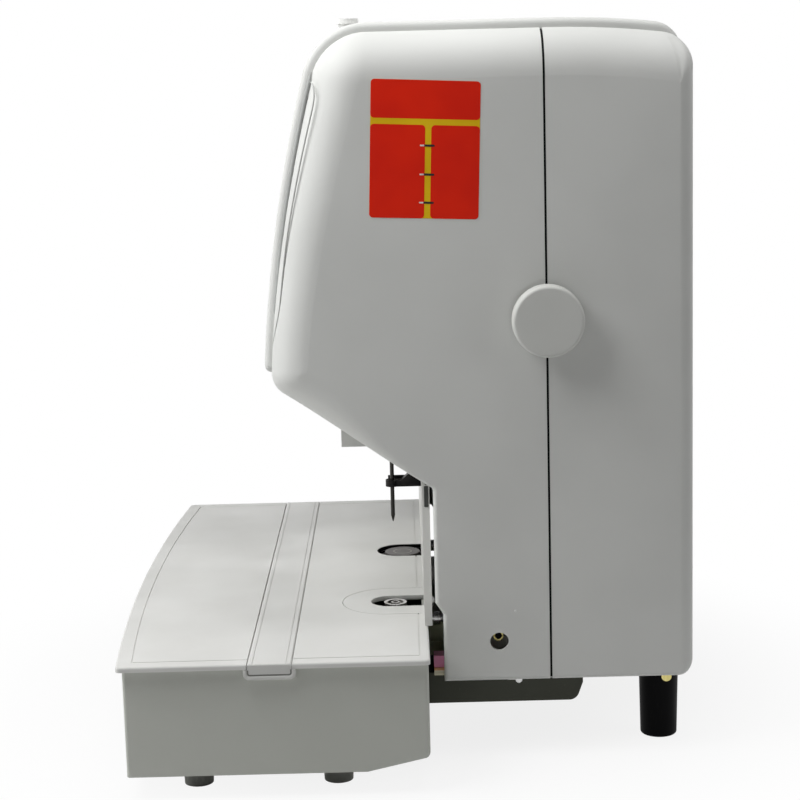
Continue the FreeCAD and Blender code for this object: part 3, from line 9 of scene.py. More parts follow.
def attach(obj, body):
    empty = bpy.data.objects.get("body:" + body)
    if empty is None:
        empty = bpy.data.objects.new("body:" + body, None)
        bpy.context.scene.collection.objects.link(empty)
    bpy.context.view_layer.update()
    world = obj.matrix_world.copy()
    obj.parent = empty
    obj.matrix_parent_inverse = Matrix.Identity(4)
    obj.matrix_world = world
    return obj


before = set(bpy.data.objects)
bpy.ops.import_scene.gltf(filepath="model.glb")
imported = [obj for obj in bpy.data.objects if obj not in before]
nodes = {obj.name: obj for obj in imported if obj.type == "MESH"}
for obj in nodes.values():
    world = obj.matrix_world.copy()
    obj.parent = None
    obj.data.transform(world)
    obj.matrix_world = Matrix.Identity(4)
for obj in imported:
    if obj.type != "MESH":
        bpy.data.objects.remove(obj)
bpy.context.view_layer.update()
print("frame loaded:", len(nodes), "nodes")


# camera on the operator's right, a little above the table, in metres and degrees
view = {
    "place": (1.2175, 0.0035, 0.4070),
    "down": 9.999,
    "turned": 0.1443,        # towards the operator
    "rolled": 1.5151,        # clockwise, seen from behind the camera
    "lens": 85.5,            # millimetres
    "sensor": 36.0,
}


# level and looking along -X, then turned about Z, tipped down and rolled about the line of sight
def placeCamera():
    data = bpy.data.cameras.new("sideCamera")
    data.sensor_width = view["sensor"]
    data.lens = view["lens"]
    camera = bpy.data.objects.new("sideCamera", data)
    heading = Matrix.Rotation(math.radians(90.0 + view["turned"]), 4, "Z")
    tip = Matrix.Rotation(math.radians(90.0 - view["down"]), 4, "X")
    roll = Matrix.Rotation(math.radians(-view["rolled"]), 4, "Z")
    camera.matrix_world = Matrix.Translation(view["place"]) @ heading @ tip @ roll
    bpy.context.scene.collection.objects.link(camera)
    bpy.context.scene.camera = camera


placeCamera()
print("camera placed")


# node helpers
# a colour written 0 to 255 as it looks on a screen, as the shader's linear colour
def rgb(red, green, blue):
    seen = np.array((red, green, blue)) / 255.0
    linear = np.where(seen <= 0.04045, seen / 12.92, ((seen + 0.055) / 1.055) ** 2.4)
    return (*linear.tolist(), 1.0)


# settings are the node's own; inputs go to sockets by label, or by i and the socket's number
def addNode(tree, kind, settings=(), **inputs):
    node = tree.nodes.new("ShaderNode" + kind)
    for key, value in dict(settings).items():
        setattr(node, key, value)
    for key, value in inputs.items():
        socket = node.inputs[int(key[1:]) if key[1:].isdigit() else key]
        if isinstance(value, bpy.types.NodeSocket):
            tree.links.new(value, socket)
        else:
            socket.default_value = value
    return node


def maths(tree, operation, first, second=0.0, clamp=False):
    return addNode(tree, "Math", {"operation": operation, "use_clamp": clamp}, i0=first, i1=second).outputs[0]


def plus(tree, first, second, clamp=False):
    return maths(tree, "ADD", first, second, clamp)


def minus(tree, first, second):
    return maths(tree, "SUBTRACT", first, second)


def times(tree, first, second):
    return maths(tree, "MULTIPLY", first, second)


def larger(tree, first, second):
    return maths(tree, "MAXIMUM", first, second)


def under(tree, first, second):
    return maths(tree, "LESS_THAN", first, second)


def over(tree, first, second):
    return maths(tree, "GREATER_THAN", first, second)


def sizeOf(tree, value):
    return maths(tree, "ABSOLUTE", value)


# length of a line from its two legs
def legsToLength(tree, first, second):
    return maths(tree, "SQRT", plus(tree, times(tree, first, first), times(tree, second, second)))


# how far a value lies from the middle of the nearest cell, in a row of cells of one pitch
def fromNearest(tree, value, pitch, shift):
    cell = maths(tree, "ROUND", maths(tree, "DIVIDE", plus(tree, value, shift), pitch))
    return minus(tree, value, minus(tree, times(tree, cell, pitch), shift))


def objectPlace(tree):
    return addNode(tree, "TexCoord").outputs["Object"]


def axesOf(tree, place):
    return addNode(tree, "SeparateXYZ", (), Vector=place).outputs


# value from low to high becomes out0 to out1, eased at both ends if smooth
def ramp(tree, value, low, high, out0=0.0, out1=1.0, smooth=True):
    node = addNode(tree, "MapRange", {"interpolation_type": "SMOOTHSTEP" if smooth else "LINEAR"},
                   i0=value, i1=low, i2=high, i3=out0, i4=out1)
    return node.outputs[0]


def blendColour(tree, share, first, second):
    return addNode(tree, "Mix", {"data_type": "RGBA"}, i0=share, i6=first, i7=second).outputs[2]


# noise whose blobs are about size metres across; a group's socket gives its scale instead
def noise(tree, where, size, detail=2.0, rough=0.5):
    scale = 1.0 / size if isinstance(size, float) else size
    node = addNode(tree, "TexNoise", (), Vector=where, Scale=scale, Detail=detail, Roughness=rough)
    return node.outputs["Fac"]


# empty node group: its tree, the sockets it is given and the sockets it fills
def startGroup(name, inputs, outputs):
    tree = bpy.data.node_groups.new(name, "ShaderNodeTree")
    for label, value in inputs.items():
        kind = "NodeSocketVector" if isinstance(value, tuple) else "NodeSocketFloat"
        tree.interface.new_socket(label, in_out="INPUT", socket_type=kind).default_value = value
    for label in outputs:
        tree.interface.new_socket(label, in_out="OUTPUT", socket_type="NodeSocketFloat")
    entry = tree.nodes.new("NodeGroupInput")
    out = tree.nodes.new("NodeGroupOutput")
    return tree, entry.outputs, out.inputs


# moulded skin: fine spark-eroded grain, and the slow change of tone of a big moulding
def makeMouldedSkin():
    tree, given, out = startGroup("mouldedSkin", {"Grain": 1500.0, "Flow": 14.0}, ("Height", "Tone", "Speck"))
    where = objectPlace(tree)
    fine = noise(tree, where, given["Grain"], detail=3.0, rough=0.62)
    broad = noise(tree, where, given["Flow"], rough=0.45)
    specks = addNode(tree, "TexVoronoi", (), Vector=where, Scale=160.0).outputs["Distance"]
    tree.links.new(fine, out["Height"])
    tree.links.new(ramp(tree, broad, 0.3, 0.7), out["Tone"])
    tree.links.new(ramp(tree, specks, 0.075, 0.03), out["Speck"])
    return tree


# dust that settles on what faces up, thicker where the noise says
def makeSettledDust():
    tree, given, out = startGroup("settledDust", {"Amount": 0.2}, ("Mask",))
    coords = addNode(tree, "TexCoord").outputs
    upward = axesOf(tree, coords["Normal"])["Z"]
    drift = ramp(tree, noise(tree, coords["Object"], 0.03, detail=4.0, rough=0.6), 0.35, 0.75)
    mask = times(tree, ramp(tree, upward, 0.55, 1.0), drift)
    tree.links.new(times(tree, mask, given["Amount"]), out["Mask"])
    return tree


# drawn lines: noise pulled out along one axis, as rolling and brushing leave on metal
def makeDrawnLines():
    tree, given, out = startGroup("drawnLines", {"Stretch": (900.0, 900.0, 12.0)}, ("Height", "Tone"))
    where = objectPlace(tree)
    pulled = addNode(tree, "VectorMath", {"operation": "MULTIPLY"}, i0=where, i1=given["Stretch"]).outputs[0]
    lines = noise(tree, pulled, 1.0, detail=3.0, rough=0.6)
    tree.links.new(lines, out["Height"])
    tree.links.new(ramp(tree, lines, 0.3, 0.7), out["Tone"])
    return tree


# handled: blotches where hands and cloths have polished or dulled a surface, and hair scratches
def makeHandled():
    tree, given, out = startGroup("handled", {"Smudge": 1.0, "Scratch": 1.0}, ("Smudges", "Scratches"))
    where = objectPlace(tree)
    blotch = ramp(tree, noise(tree, where, 0.022, detail=3.0, rough=0.55), 0.52, 0.72)
    tree.links.new(times(tree, blotch, given["Smudge"]), out["Smudges"])
    total = None
    for turn in ((0.3, 0.5, 0.9), (1.1, 0.2, -0.7)):
        turned = addNode(tree, "Mapping", (), Vector=where, Rotation=turn, Scale=(9.0, 1400.0, 9.0))
        line = ramp(tree, noise(tree, turned.outputs[0], 1.0, detail=1.0, rough=0.4), 0.70, 0.76)
        total = line if total is None else larger(tree, total, line)
    tree.links.new(times(tree, total, given["Scratch"]), out["Scratches"])
    return tree


groups = {
    "skin": makeMouldedSkin(),
    "dust": makeSettledDust(),
    "lines": makeDrawnLines(),
    "handled": makeHandled(),
}
print("shader groups built")


# shared group in a material, with its values for this finish
def useGroup(tree, key, **values):
    node = tree.nodes.new("ShaderNodeGroup")
    node.node_tree = groups[key]
    for label, value in values.items():
        node.inputs[label].default_value = value
    return node.outputs


# material with one Principled shader, its constant values straight from look
def startMaterial(name, look):
    material = bpy.data.materials.new(name)
    material.use_nodes = True
    tree = material.node_tree
    tree.nodes.clear()
    shader = tree.nodes.new("ShaderNodeBsdfPrincipled")
    out = tree.nodes.new("ShaderNodeOutputMaterial")
    tree.links.new(shader.outputs["BSDF"], out.inputs["Surface"])
    for socket, value in look.get("fixed", {}).items():
        shader.inputs[socket].default_value = value
    return material, tree, shader


# colour and roughness into the shader
def feed(tree, shader, colour, rough):
    tree.links.new(colour, shader.inputs["Base Color"])
    tree.links.new(rough, shader.inputs["Roughness"])


def bumpFrom(tree, shader, height, strength, depth):
    bump = addNode(tree, "Bump", (), Height=height, Strength=strength, Distance=depth)
    tree.links.new(bump.outputs["Normal"], shader.inputs["Normal"])


# what hand marks and hair scratches do to roughness and relief, and the colour of dust
plasticWear = {
    "polish": 0.10,
    "dull": 0.08,
    "depth": 0.3,
    "dustColour": rgb(196, 193, 186),
}
metalWear = {
    "smear": 0.08,
    "dull": 0.10,
    "depth": 0.4,
    "dustColour": rgb(150, 146, 138),
}


# moulded plastic: grain, slow tone changes, hand marks and a little dust on top
def plasticFinish(name, look):
    material, tree, shader = startMaterial(name, look)
    skin = useGroup(tree, "skin", Grain=1.0 / look["grain"], Flow=look.get("flow", 14.0))
    dust = useGroup(tree, "dust", Amount=look.get("dust", 0.1))
    marks = useGroup(tree, "handled", Smudge=look.get("smudge", 0.5), Scratch=look.get("scratch", 0.15))
    colour = blendColour(tree, skin["Tone"], look["colour"], look["second"])
    colour = blendColour(tree, times(tree, skin["Speck"], look.get("speck", 0.05)),
                         colour, look.get("speckColour", look["second"]))
    colour = blendColour(tree, dust["Mask"], colour, look.get("dustColour", plasticWear["dustColour"]))
    rough = ramp(tree, skin["Tone"], 0.0, 1.0, *look["rough"], smooth=False)
    rough = minus(tree, rough, times(tree, marks["Smudges"], plasticWear["polish"]))
    rough = plus(tree, rough, times(tree, marks["Scratches"], plasticWear["dull"]))
    feed(tree, shader, colour, plus(tree, rough, dust["Mask"], clamp=True))
    height = minus(tree, skin["Height"], times(tree, marks["Scratches"], plasticWear["depth"]))
    bumpFrom(tree, shader, height, look.get("relief", 0.25), look.get("depth", 0.00006))
    return material


# drawn, rolled or ground metal: stretched lines, smudges, scratches, and tarnish in patches
def metalFinish(name, look):
    material, tree, shader = startMaterial(name, look)
    shader.inputs["Metallic"].default_value = look.get("metal", 1.0)
    lines = useGroup(tree, "lines", Stretch=look["stretch"])
    marks = useGroup(tree, "handled", Smudge=1.0, Scratch=look.get("scratch", 0.4))
    dust = useGroup(tree, "dust", Amount=look.get("dust", 0.08))
    colour = blendColour(tree, lines["Tone"], look["colour"], look["second"])
    colour = blendColour(tree, times(tree, marks["Smudges"], look.get("tarnish", 0.3)),
                         colour, look.get("tarnishColour", look["second"]))
    colour = blendColour(tree, dust["Mask"], colour, metalWear["dustColour"])
    rough = ramp(tree, lines["Tone"], 0.0, 1.0, *look["rough"], smooth=False)
    rough = plus(tree, rough, times(tree, marks["Smudges"], metalWear["smear"]))
    rough = plus(tree, rough, times(tree, marks["Scratches"], metalWear["dull"]))
    feed(tree, shader, colour, plus(tree, rough, dust["Mask"], clamp=True))
    height = minus(tree, lines["Height"], times(tree, marks["Scratches"], metalWear["depth"]))
    bumpFrom(tree, shader, height, look.get("relief", 0.2), look.get("depth", 0.00004))
    return material


# one finish on each of the named CAD nodes
def dress(material, *names):
    for name in names:
        nodes[name].material_slots[0].material = material


# casing, base and table; the pale plastics and paints start from the casing's values
casingLook = {
    "colour": rgb(218, 219, 216),
    "second": rgb(213, 214, 211),
    "speckColour": rgb(201, 202, 199),
    "rough": (0.50, 0.58),
    "grain": 0.0007,
    "relief": 0.16,
    "dust": 0.05,
    "smudge": 0.6,
    "scratch": 0.10,
    "fixed": {"IOR": 1.5, "Specular IOR Level": 0.36},
}
tableLook = dict(casingLook, colour=rgb(220, 220, 217), second=rgb(215, 215, 212), rough=(0.55, 0.63),
                 scratch=0.35, dust=0.07, fixed={"IOR": 1.5, "Specular IOR Level": 0.28})
baseLook = dict(casingLook, colour=rgb(194, 196, 189), second=rgb(189, 191, 184))
stripLook = dict(casingLook, colour=rgb(211, 211, 208), second=rgb(205, 205, 202), rough=(0.46, 0.54),
                 grain=0.0004, relief=0.08, fixed={"IOR": 1.5, "Specular IOR Level": 0.22})
knobLook = dict(casingLook, colour=rgb(214, 215, 211), second=rgb(209, 210, 206), rough=(0.40, 0.48))
# paler than the casing: painted light, lifting the fence end that sits in the throat's shade
fenceLook = dict(casingLook, colour=rgb(228, 228, 224), second=rgb(222, 222, 218), rough=(0.32, 0.42),
                 grain=0.0009)
inletLook = dict(casingLook, colour=rgb(236, 236, 234), second=rgb(230, 230, 228), rough=(0.25, 0.35))
chipLook = dict(casingLook, colour=rgb(210, 211, 208), second=rgb(204, 205, 201), dust=0.25)

dress(plasticFinish("casingPlastic", casingLook), "front_shell", "rear_shell", "rear_hatch",
      "connector_plate", "lamp_pod")
dress(plasticFinish("baseCoverPlastic", baseLook), "base_cover")
dress(plasticFinish("tablePlastic", tableLook), "table_top", "rivet_insert")
dress(plasticFinish("stripPlastic", stripLook), "table_strip")
dress(plasticFinish("knobPlastic", knobLook), "feed_knob")
dress(plasticFinish("chipBoxPlastic", chipLook), "chip_box")
dress(plasticFinish("fencePaintLightened", fenceLook), "fence_plate")
dress(plasticFinish("inletPlastic", inletLook), "tube_inlet")
print("casing and table dressed")


# black and dark parts, and the arm's enamel and the pink plastic, which start from the same values; the arm's
# and the pink's colours are lifted well above their own as painted light, for parts in the shaded gap under
# the head
darkSheetLook = {
    "colour": rgb(54, 56, 44),
    "second": rgb(47, 49, 38),
    "rough": (0.42, 0.55),
    "grain": 0.0011,
    "relief": 0.35,
    "dust": 0.10,
    "speck": 0.2,
    "speckColour": rgb(96, 98, 84),
    "dustColour": rgb(120, 118, 108),
    "fixed": {"IOR": 1.5, "Specular IOR Level": 0.3},
}
footLook = dict(darkSheetLook, colour=rgb(150, 151, 146), second=rgb(138, 139, 134), rough=(0.60, 0.74),
                grain=0.0009, relief=0.4)
blackPlasticLook = dict(darkSheetLook, colour=rgb(6, 6, 7), second=rgb(3, 3, 4), rough=(0.44, 0.56),
                        grain=0.0008, relief=0.2, dust=0.03, speck=0.03,
                        fixed={"IOR": 1.5, "Specular IOR Level": 0.05})
beltLook = dict(darkSheetLook, colour=rgb(30, 30, 31), second=rgb(22, 22, 23), rough=(0.55, 0.7))
switchLook = dict(blackPlasticLook, colour=rgb(26, 26, 27), second=rgb(20, 20, 21), rough=(0.22, 0.32))
armLook = dict(darkSheetLook, colour=rgb(186, 188, 160), second=rgb(174, 176, 150), rough=(0.50, 0.62),
               speckColour=rgb(150, 152, 128))
pinkLook = dict(darkSheetLook, colour=rgb(240, 158, 196), second=rgb(234, 146, 186), rough=(0.3, 0.4),
                dustColour=rgb(210, 170, 176), speckColour=rgb(224, 168, 180))

dress(plasticFinish("powderedSheet", darkSheetLook), "base_floor", "chassis_pan")
dress(plasticFinish("footRubber", footLook), "front_feet")
dress(plasticFinish("blackPlastic", blackPlasticLook), "rear_legs", "pad_holder", "pad_well",
      "power_fittings")
dress(plasticFinish("beltRubber", beltLook), "drive_belt")
dress(plasticFinish("switchPlastic", switchLook), "switch_rocker")
dress(plasticFinish("armEnamelLightened", armLook), "lower_arm")
dress(plasticFinish("pinkPlasticLightened", pinkLook), "terminal_block")

# inner cover: black coat above, olive primer on its lower flange, the olive lifted well above the primer's
# own colour as painted light for the dim gap under the head
coverLook = {
    "colour": rgb(24, 24, 25),
    "second": rgb(18, 18, 19),
    "low": rgb(150, 152, 128),
    "lowSecond": rgb(138, 140, 116),
    "dustColour": rgb(120, 118, 108),
    "rough": (0.40, 0.52),
    "changeZ": 0.0845,       # metres up to where the coat starts
    "wander": 0.0012,
    "wanderSize": 0.012,
    "flow": 18.0,
    "dust": 0.2,
    "bump": (0.3, 0.00006),  # strength and depth, here and in the looks that follow
    "fixed": {"IOR": 1.5, "Specular IOR Level": 0.3},
}


def coverFinish():
    material, tree, shader = startMaterial("coverSheet", coverLook)
    skin = useGroup(tree, "skin", Grain=1.0 / darkSheetLook["grain"], Flow=coverLook["flow"])
    dust = useGroup(tree, "dust", Amount=coverLook["dust"])
    where = objectPlace(tree)
    wander = times(tree, noise(tree, where, coverLook["wanderSize"]), coverLook["wander"])
    coated = over(tree, plus(tree, axesOf(tree, where)["Z"], wander), coverLook["changeZ"])
    black = blendColour(tree, skin["Tone"], coverLook["colour"], coverLook["second"])
    liftedOlive = blendColour(tree, skin["Tone"], coverLook["low"], coverLook["lowSecond"])
    colour = blendColour(tree, coated, liftedOlive, black)
    colour = blendColour(tree, dust["Mask"], colour, coverLook["dustColour"])
    feed(tree, shader, colour, ramp(tree, skin["Height"], 0.2, 0.8, *coverLook["rough"], smooth=False))
    bumpFrom(tree, shader, skin["Height"], *coverLook["bump"])
    return material


dress(coverFinish(), "inner_cover")
print("dark parts dressed")


# metals
brassLook = {
    "colour": rgb(214, 202, 138),
    "second": rgb(196, 184, 118),
    "tarnishColour": rgb(150, 138, 80),
    "rough": (0.24, 0.36),
    "stretch": (700.0, 700.0, 30.0),
}
steelLook = {
    "colour": rgb(206, 206, 204),
    "second": rgb(186, 187, 187),
    "tarnishColour": rgb(140, 136, 130),
    "rough": (0.20, 0.32),
    "stretch": (900.0, 900.0, 20.0),
}
zincLook = dict(steelLook, colour=rgb(178, 180, 176), second=rgb(158, 160, 155), rough=(0.36, 0.5),
                stretch=(14.0, 420.0, 14.0), tarnishColour=rgb(120, 120, 112), tarnish=0.5)
chassisLook = dict(zincLook, colour=rgb(150, 146, 128), second=rgb(132, 128, 112),
                   stretch=(420.0, 14.0, 420.0))
castLook = dict(steelLook, colour=rgb(92, 94, 96), second=rgb(72, 74, 76), rough=(0.5, 0.62), metal=0.6,
                stretch=(260.0, 260.0, 260.0), relief=0.5, depth=0.00015)
aluminiumLook = dict(steelLook, colour=rgb(214, 214, 212), second=rgb(196, 197, 196), rough=(0.26, 0.38),
                     stretch=(16.0, 700.0, 700.0))
# far darker than bright chrome: painted shade and dark reflections for the die deep in its slot
darkenedChromeLook = dict(steelLook, colour=rgb(136, 134, 131), second=rgb(92, 90, 86), rough=(0.18, 0.30),
                  stretch=(600.0, 600.0, 40.0), tarnish=0.6, tarnishColour=rgb(84, 78, 70))
toolLook = dict(steelLook, colour=rgb(62, 61, 59), second=rgb(46, 45, 43), rough=(0.24, 0.36),
                tarnishColour=rgb(40, 36, 32))
blackSteelLook = dict(steelLook, colour=rgb(9, 9, 10), second=rgb(5, 5, 6), rough=(0.34, 0.46), metal=0.2,
                      scratch=0.2, tarnish=0.1, fixed={"Specular IOR Level": 0.15})
motorLook = dict(steelLook, colour=rgb(120, 121, 122), second=rgb(100, 101, 103), rough=(0.3, 0.45),
                 metal=0.85, stretch=(30.0, 30.0, 700.0))

dress(metalFinish("brass", brassLook), "brass_fittings")
dress(metalFinish("groundSteel", steelLook), "steel_fasteners", "guide_rods", "drill_spindle",
      "drill_motor_shaft", "feed_shaft", "lead_screw")
dress(metalFinish("zincSheet", zincLook), "frame_plates", "guide_plates", "rear_cross_plate")
dress(metalFinish("chassisZinc", chassisLook), "chassis_plate")
dress(metalFinish("castIron", castLook), "drill_carriage", "press_carriage")
dress(metalFinish("aluminium", aluminiumLook), "die_block")
dress(metalFinish("dieChromeDarkened", darkenedChromeLook), "crown_die")
dress(metalFinish("toolSteel", toolLook), "hollow_drill", "feed_rack", "feed_gears", "motor_gear",
      "needle_holder", "rivet_needle")
dress(metalFinish("blackSteel", blackSteelLook), "press_arm")
dress(metalFinish("motorSteel", motorLook), "drill_motor", "feed_motor", "rivet_motor")
print("metals dressed")


# cutting pad: dark rubber disc with one ring worn by the drill
padLook = {
    "colour": rgb(84, 80, 77),
    "second": rgb(64, 61, 58),
    "cut": rgb(128, 124, 118),
    "centre": (-0.046, -0.0007),
    "ringRadius": 0.0066,
    "ringWidth": 0.0007,
    "wobble": 0.0012,
    "wobbleSize": 0.004,
    "ringDepth": 2.0,        # times the rubber's own grain
    "rough": (0.5, 0.7),
    "bump": (0.5, 0.0002),
    "skin": {"Grain": 1100.0, "Flow": 90.0},
    "fixed": {"IOR": 1.5},
}


def padFinish():
    material, tree, shader = startMaterial("padRubber", padLook)
    skin = useGroup(tree, "skin", **padLook["skin"])
    where = objectPlace(tree)
    axes = axesOf(tree, where)
    offX = minus(tree, axes["X"], padLook["centre"][0])
    offY = minus(tree, axes["Y"], padLook["centre"][1])
    radius = legsToLength(tree, offX, offY)
    wobble = times(tree, noise(tree, where, padLook["wobbleSize"]), padLook["wobble"])
    off = sizeOf(tree, minus(tree, plus(tree, radius, wobble), padLook["ringRadius"]))
    ring = ramp(tree, off, padLook["ringWidth"], 0.0)
    colour = blendColour(tree, skin["Tone"], padLook["colour"], padLook["second"])
    colour = blendColour(tree, ring, colour, padLook["cut"])
    feed(tree, shader, colour, ramp(tree, skin["Height"], 0.2, 0.8, *padLook["rough"], smooth=False))
    height = minus(tree, skin["Height"], times(tree, ring, padLook["ringDepth"]))
    bumpFrom(tree, shader, height, *padLook["bump"])
    return material


dress(padFinish(), "cutting_pad")


# front panel: film, display, lamps and keys
panelLook = {
    "film": rgb(74, 78, 84),
    "filmSecond": rgb(68, 72, 78),
    "line": rgb(206, 208, 210),
    "dustColour": rgb(150, 150, 150),
    "rough": (0.42, 0.54),
    "keys": {"pitch": 0.030, "height": 0.264, "inner": 0.0098, "outer": 0.0104, "count": 4},
    "lamps": {"pitch": 0.020, "height": 0.314, "inner": 0.0036, "outer": 0.0041, "count": 3},
    "ruleHeight": 0.2955,    # rule between keys and lamps
    "ruleHalf": 0.066,
    "ruleStroke": 0.00025,
    "frameHeight": 0.3224,   # thin frame round the film: its middle, half its width and half its height
    "frameHalf": 0.0835,
    "frameTall": 0.0705,
    "frameStroke": 0.00035,
    "dust": 0.05,
    "bump": (0.15, 0.00005),
    "skin": {"Grain": 1600.0, "Flow": 20.0},
    "fixed": {"IOR": 1.4, "Specular IOR Level": 0.3},
}


# rings of the same size in a row: the distance from the nearest centre lies between inner and outer
def ringMask(tree, across, up, row):
    pitch = row["pitch"]
    shift = 0.0 if row["count"] % 2 else pitch / 2
    radius = legsToLength(tree, fromNearest(tree, across, pitch, shift), minus(tree, up, row["height"]))
    inside = times(tree, over(tree, radius, row["inner"]), under(tree, radius, row["outer"]))
    return times(tree, inside, under(tree, sizeOf(tree, across), pitch * row["count"] / 2))


def filmFinish():
    material, tree, shader = startMaterial("panelFilm", panelLook)
    skin = useGroup(tree, "skin", **panelLook["skin"])
    dust = useGroup(tree, "dust", Amount=panelLook["dust"])
    where = objectPlace(tree)
    axes = axesOf(tree, where)
    across, up = axes["X"], axes["Z"]
    keys = ringMask(tree, across, up, panelLook["keys"])
    lamps = ringMask(tree, across, up, panelLook["lamps"])
    level = sizeOf(tree, minus(tree, up, panelLook["ruleHeight"]))
    rule = times(tree, under(tree, level, panelLook["ruleStroke"]),
                 under(tree, sizeOf(tree, across), panelLook["ruleHalf"]))
    stroke = panelLook["frameStroke"]
    sideOff = minus(tree, sizeOf(tree, across), panelLook["frameHalf"])
    topOff = minus(tree, sizeOf(tree, minus(tree, up, panelLook["frameHeight"])), panelLook["frameTall"])
    uprights = times(tree, under(tree, sizeOf(tree, sideOff), stroke), under(tree, topOff, stroke))
    levels = times(tree, under(tree, sizeOf(tree, topOff), stroke), under(tree, sideOff, stroke))
    ink = larger(tree, larger(tree, keys, lamps), larger(tree, rule, larger(tree, uprights, levels)))
    colour = blendColour(tree, skin["Tone"], panelLook["film"], panelLook["filmSecond"])
    colour = blendColour(tree, ink, colour, panelLook["line"])
    colour = blendColour(tree, dust["Mask"], colour, panelLook["dustColour"])
    feed(tree, shader, colour, ramp(tree, skin["Height"], 0.2, 0.8, *panelLook["rough"], smooth=False))
    bumpFrom(tree, shader, skin["Height"], *panelLook["bump"])
    return material


dress(filmFinish(), "control_overlay")

displayLook = {
    "glass": rgb(26, 12, 14),
    "edge": rgb(14, 9, 11),
    "ghost": rgb(64, 22, 24),
    "digitPitch": 0.019,
    "digitWidth": 0.010,
    "digitHeight": 0.022,
    "stroke": 0.0021,
    "centreZ": 0.357,
    "slant": 0.12,
    "cut": 0.62,             # a bar ends this share of its stroke short of the corner
    "blurSize": 0.03,
    "rough": 0.30,
    "smear": 0.10,
    "dull": 0.2,
    "marks": {"Smudge": 1.0, "Scratch": 0.4},
    "fixed": {"IOR": 1.35, "Specular IOR Level": 0.2},
}


# smoked window with the unlit bars of four seven-bar digits just showing
def displayFinish():
    material, tree, shader = startMaterial("displayGlass", displayLook)
    where = objectPlace(tree)
    axes = axesOf(tree, where)
    up = minus(tree, axes["Z"], displayLook["centreZ"])
    across = minus(tree, axes["X"], times(tree, up, displayLook["slant"]))
    pitch = displayLook["digitPitch"]
    side = sizeOf(tree, fromNearest(tree, across, pitch, pitch / 2))
    rise = sizeOf(tree, up)
    half, tall = displayLook["digitWidth"] / 2, displayLook["digitHeight"] / 2
    stroke, cut = displayLook["stroke"], displayLook["stroke"] * displayLook["cut"]
    middle = sizeOf(tree, minus(tree, rise, tall / 2))
    uprightBar = times(tree, under(tree, sizeOf(tree, minus(tree, side, half)), stroke / 2),
                       under(tree, middle, tall / 2 - cut))
    level = maths(tree, "MINIMUM", rise, sizeOf(tree, minus(tree, rise, tall)))
    flatBar = times(tree, under(tree, level, stroke / 2), under(tree, side, half - cut))
    bars = larger(tree, uprightBar, flatBar)
    bars = times(tree, bars, under(tree, sizeOf(tree, across), pitch * 2))
    blur = ramp(tree, noise(tree, where, displayLook["blurSize"]), 0.3, 0.7)
    colour = blendColour(tree, blur, displayLook["glass"], displayLook["edge"])
    colour = blendColour(tree, bars, colour, displayLook["ghost"])
    marks = useGroup(tree, "handled", **displayLook["marks"])
    rough = plus(tree, times(tree, marks["Smudges"], displayLook["smear"]), displayLook["rough"])
    feed(tree, shader, colour, plus(tree, rough, times(tree, marks["Scratches"], displayLook["dull"])))
    return material


dress(displayFinish(), "display_window")

lampLook = {
    "left": rgb(58, 148, 74),
    "middle": rgb(206, 164, 52),
    "right": rgb(184, 40, 34),
    "ripple": rgb(240, 240, 235),
    "split": 0.010,          # metres either side of the middle where the colour changes
    "rippleSize": 0.0012,
    "rippleShare": 0.5,
    "rough": (0.15, 0.3),
    "bump": (0.3, 0.0001),
    "fixed": {"IOR": 1.49, "Coat Weight": 0.5, "Coat Roughness": 0.08},
}


# three lens colours by place along the panel, with a moulded ripple inside
def statusLampFinish():
    material, tree, shader = startMaterial("statusLens", lampLook)
    where = objectPlace(tree)
    across = axesOf(tree, where)["X"]
    colour = blendColour(tree, over(tree, across, -lampLook["split"]), lampLook["left"], lampLook["middle"])
    colour = blendColour(tree, over(tree, across, lampLook["split"]), colour, lampLook["right"])
    ripple = noise(tree, where, lampLook["rippleSize"])
    colour = blendColour(tree, times(tree, ripple, lampLook["rippleShare"]), colour, lampLook["ripple"])
    feed(tree, shader, colour, ramp(tree, ripple, 0.2, 0.8, *lampLook["rough"], smooth=False))
    bumpFrom(tree, shader, ripple, *lampLook["bump"])
    return material


dress(statusLampFinish(), "status_leds")

keyColours = {
    "panel_button_1": ("keyGreen", rgb(60, 142, 84), rgb(52, 130, 76)),
    "panel_button_2": ("keyGreyLeft", rgb(176, 178, 178), rgb(166, 168, 168)),
    "panel_button_3": ("keyGreyRight", rgb(176, 178, 178), rgb(166, 168, 168)),
    "panel_button_4": ("keyRed", rgb(186, 52, 44), rgb(172, 44, 38)),
}
keyLook = {
    "rough": (0.34, 0.44),
    "grain": 0.0005,
    "relief": 0.2,
    "dust": 0.05,
    "fixed": {"IOR": 1.5, "Coat Weight": 0.15, "Coat Roughness": 0.25},
}
for nodeName, (name, colour, second) in keyColours.items():
    dress(plasticFinish(name, dict(keyLook, colour=colour, second=second)), nodeName)

lensLook = {
    "colour": rgb(232, 230, 214),
    "second": rgb(214, 212, 192),
    "cells": 900.0,          # to a metre
    "rough": (0.12, 0.3),
    "bump": (0.5, 0.0003),
    "fixed": {"IOR": 1.49, "Transmission Weight": 0.35, "Coat Weight": 0.4},
}


# milky lens over the table, with a fine pattern of cells inside
def throatLampFinish():
    material, tree, shader = startMaterial("lampLens", lensLook)
    where = objectPlace(tree)
    cells = addNode(tree, "TexVoronoi", (), Vector=where, Scale=lensLook["cells"]).outputs["Distance"]
    colour = blendColour(tree, cells, lensLook["colour"], lensLook["second"])
    feed(tree, shader, colour, ramp(tree, cells, 0.0, 1.0, *lensLook["rough"], smooth=False))
    bumpFrom(tree, shader, cells, *lensLook["bump"])
    return material


dress(throatLampFinish(), "lamp_lens")
print("front panel dressed")


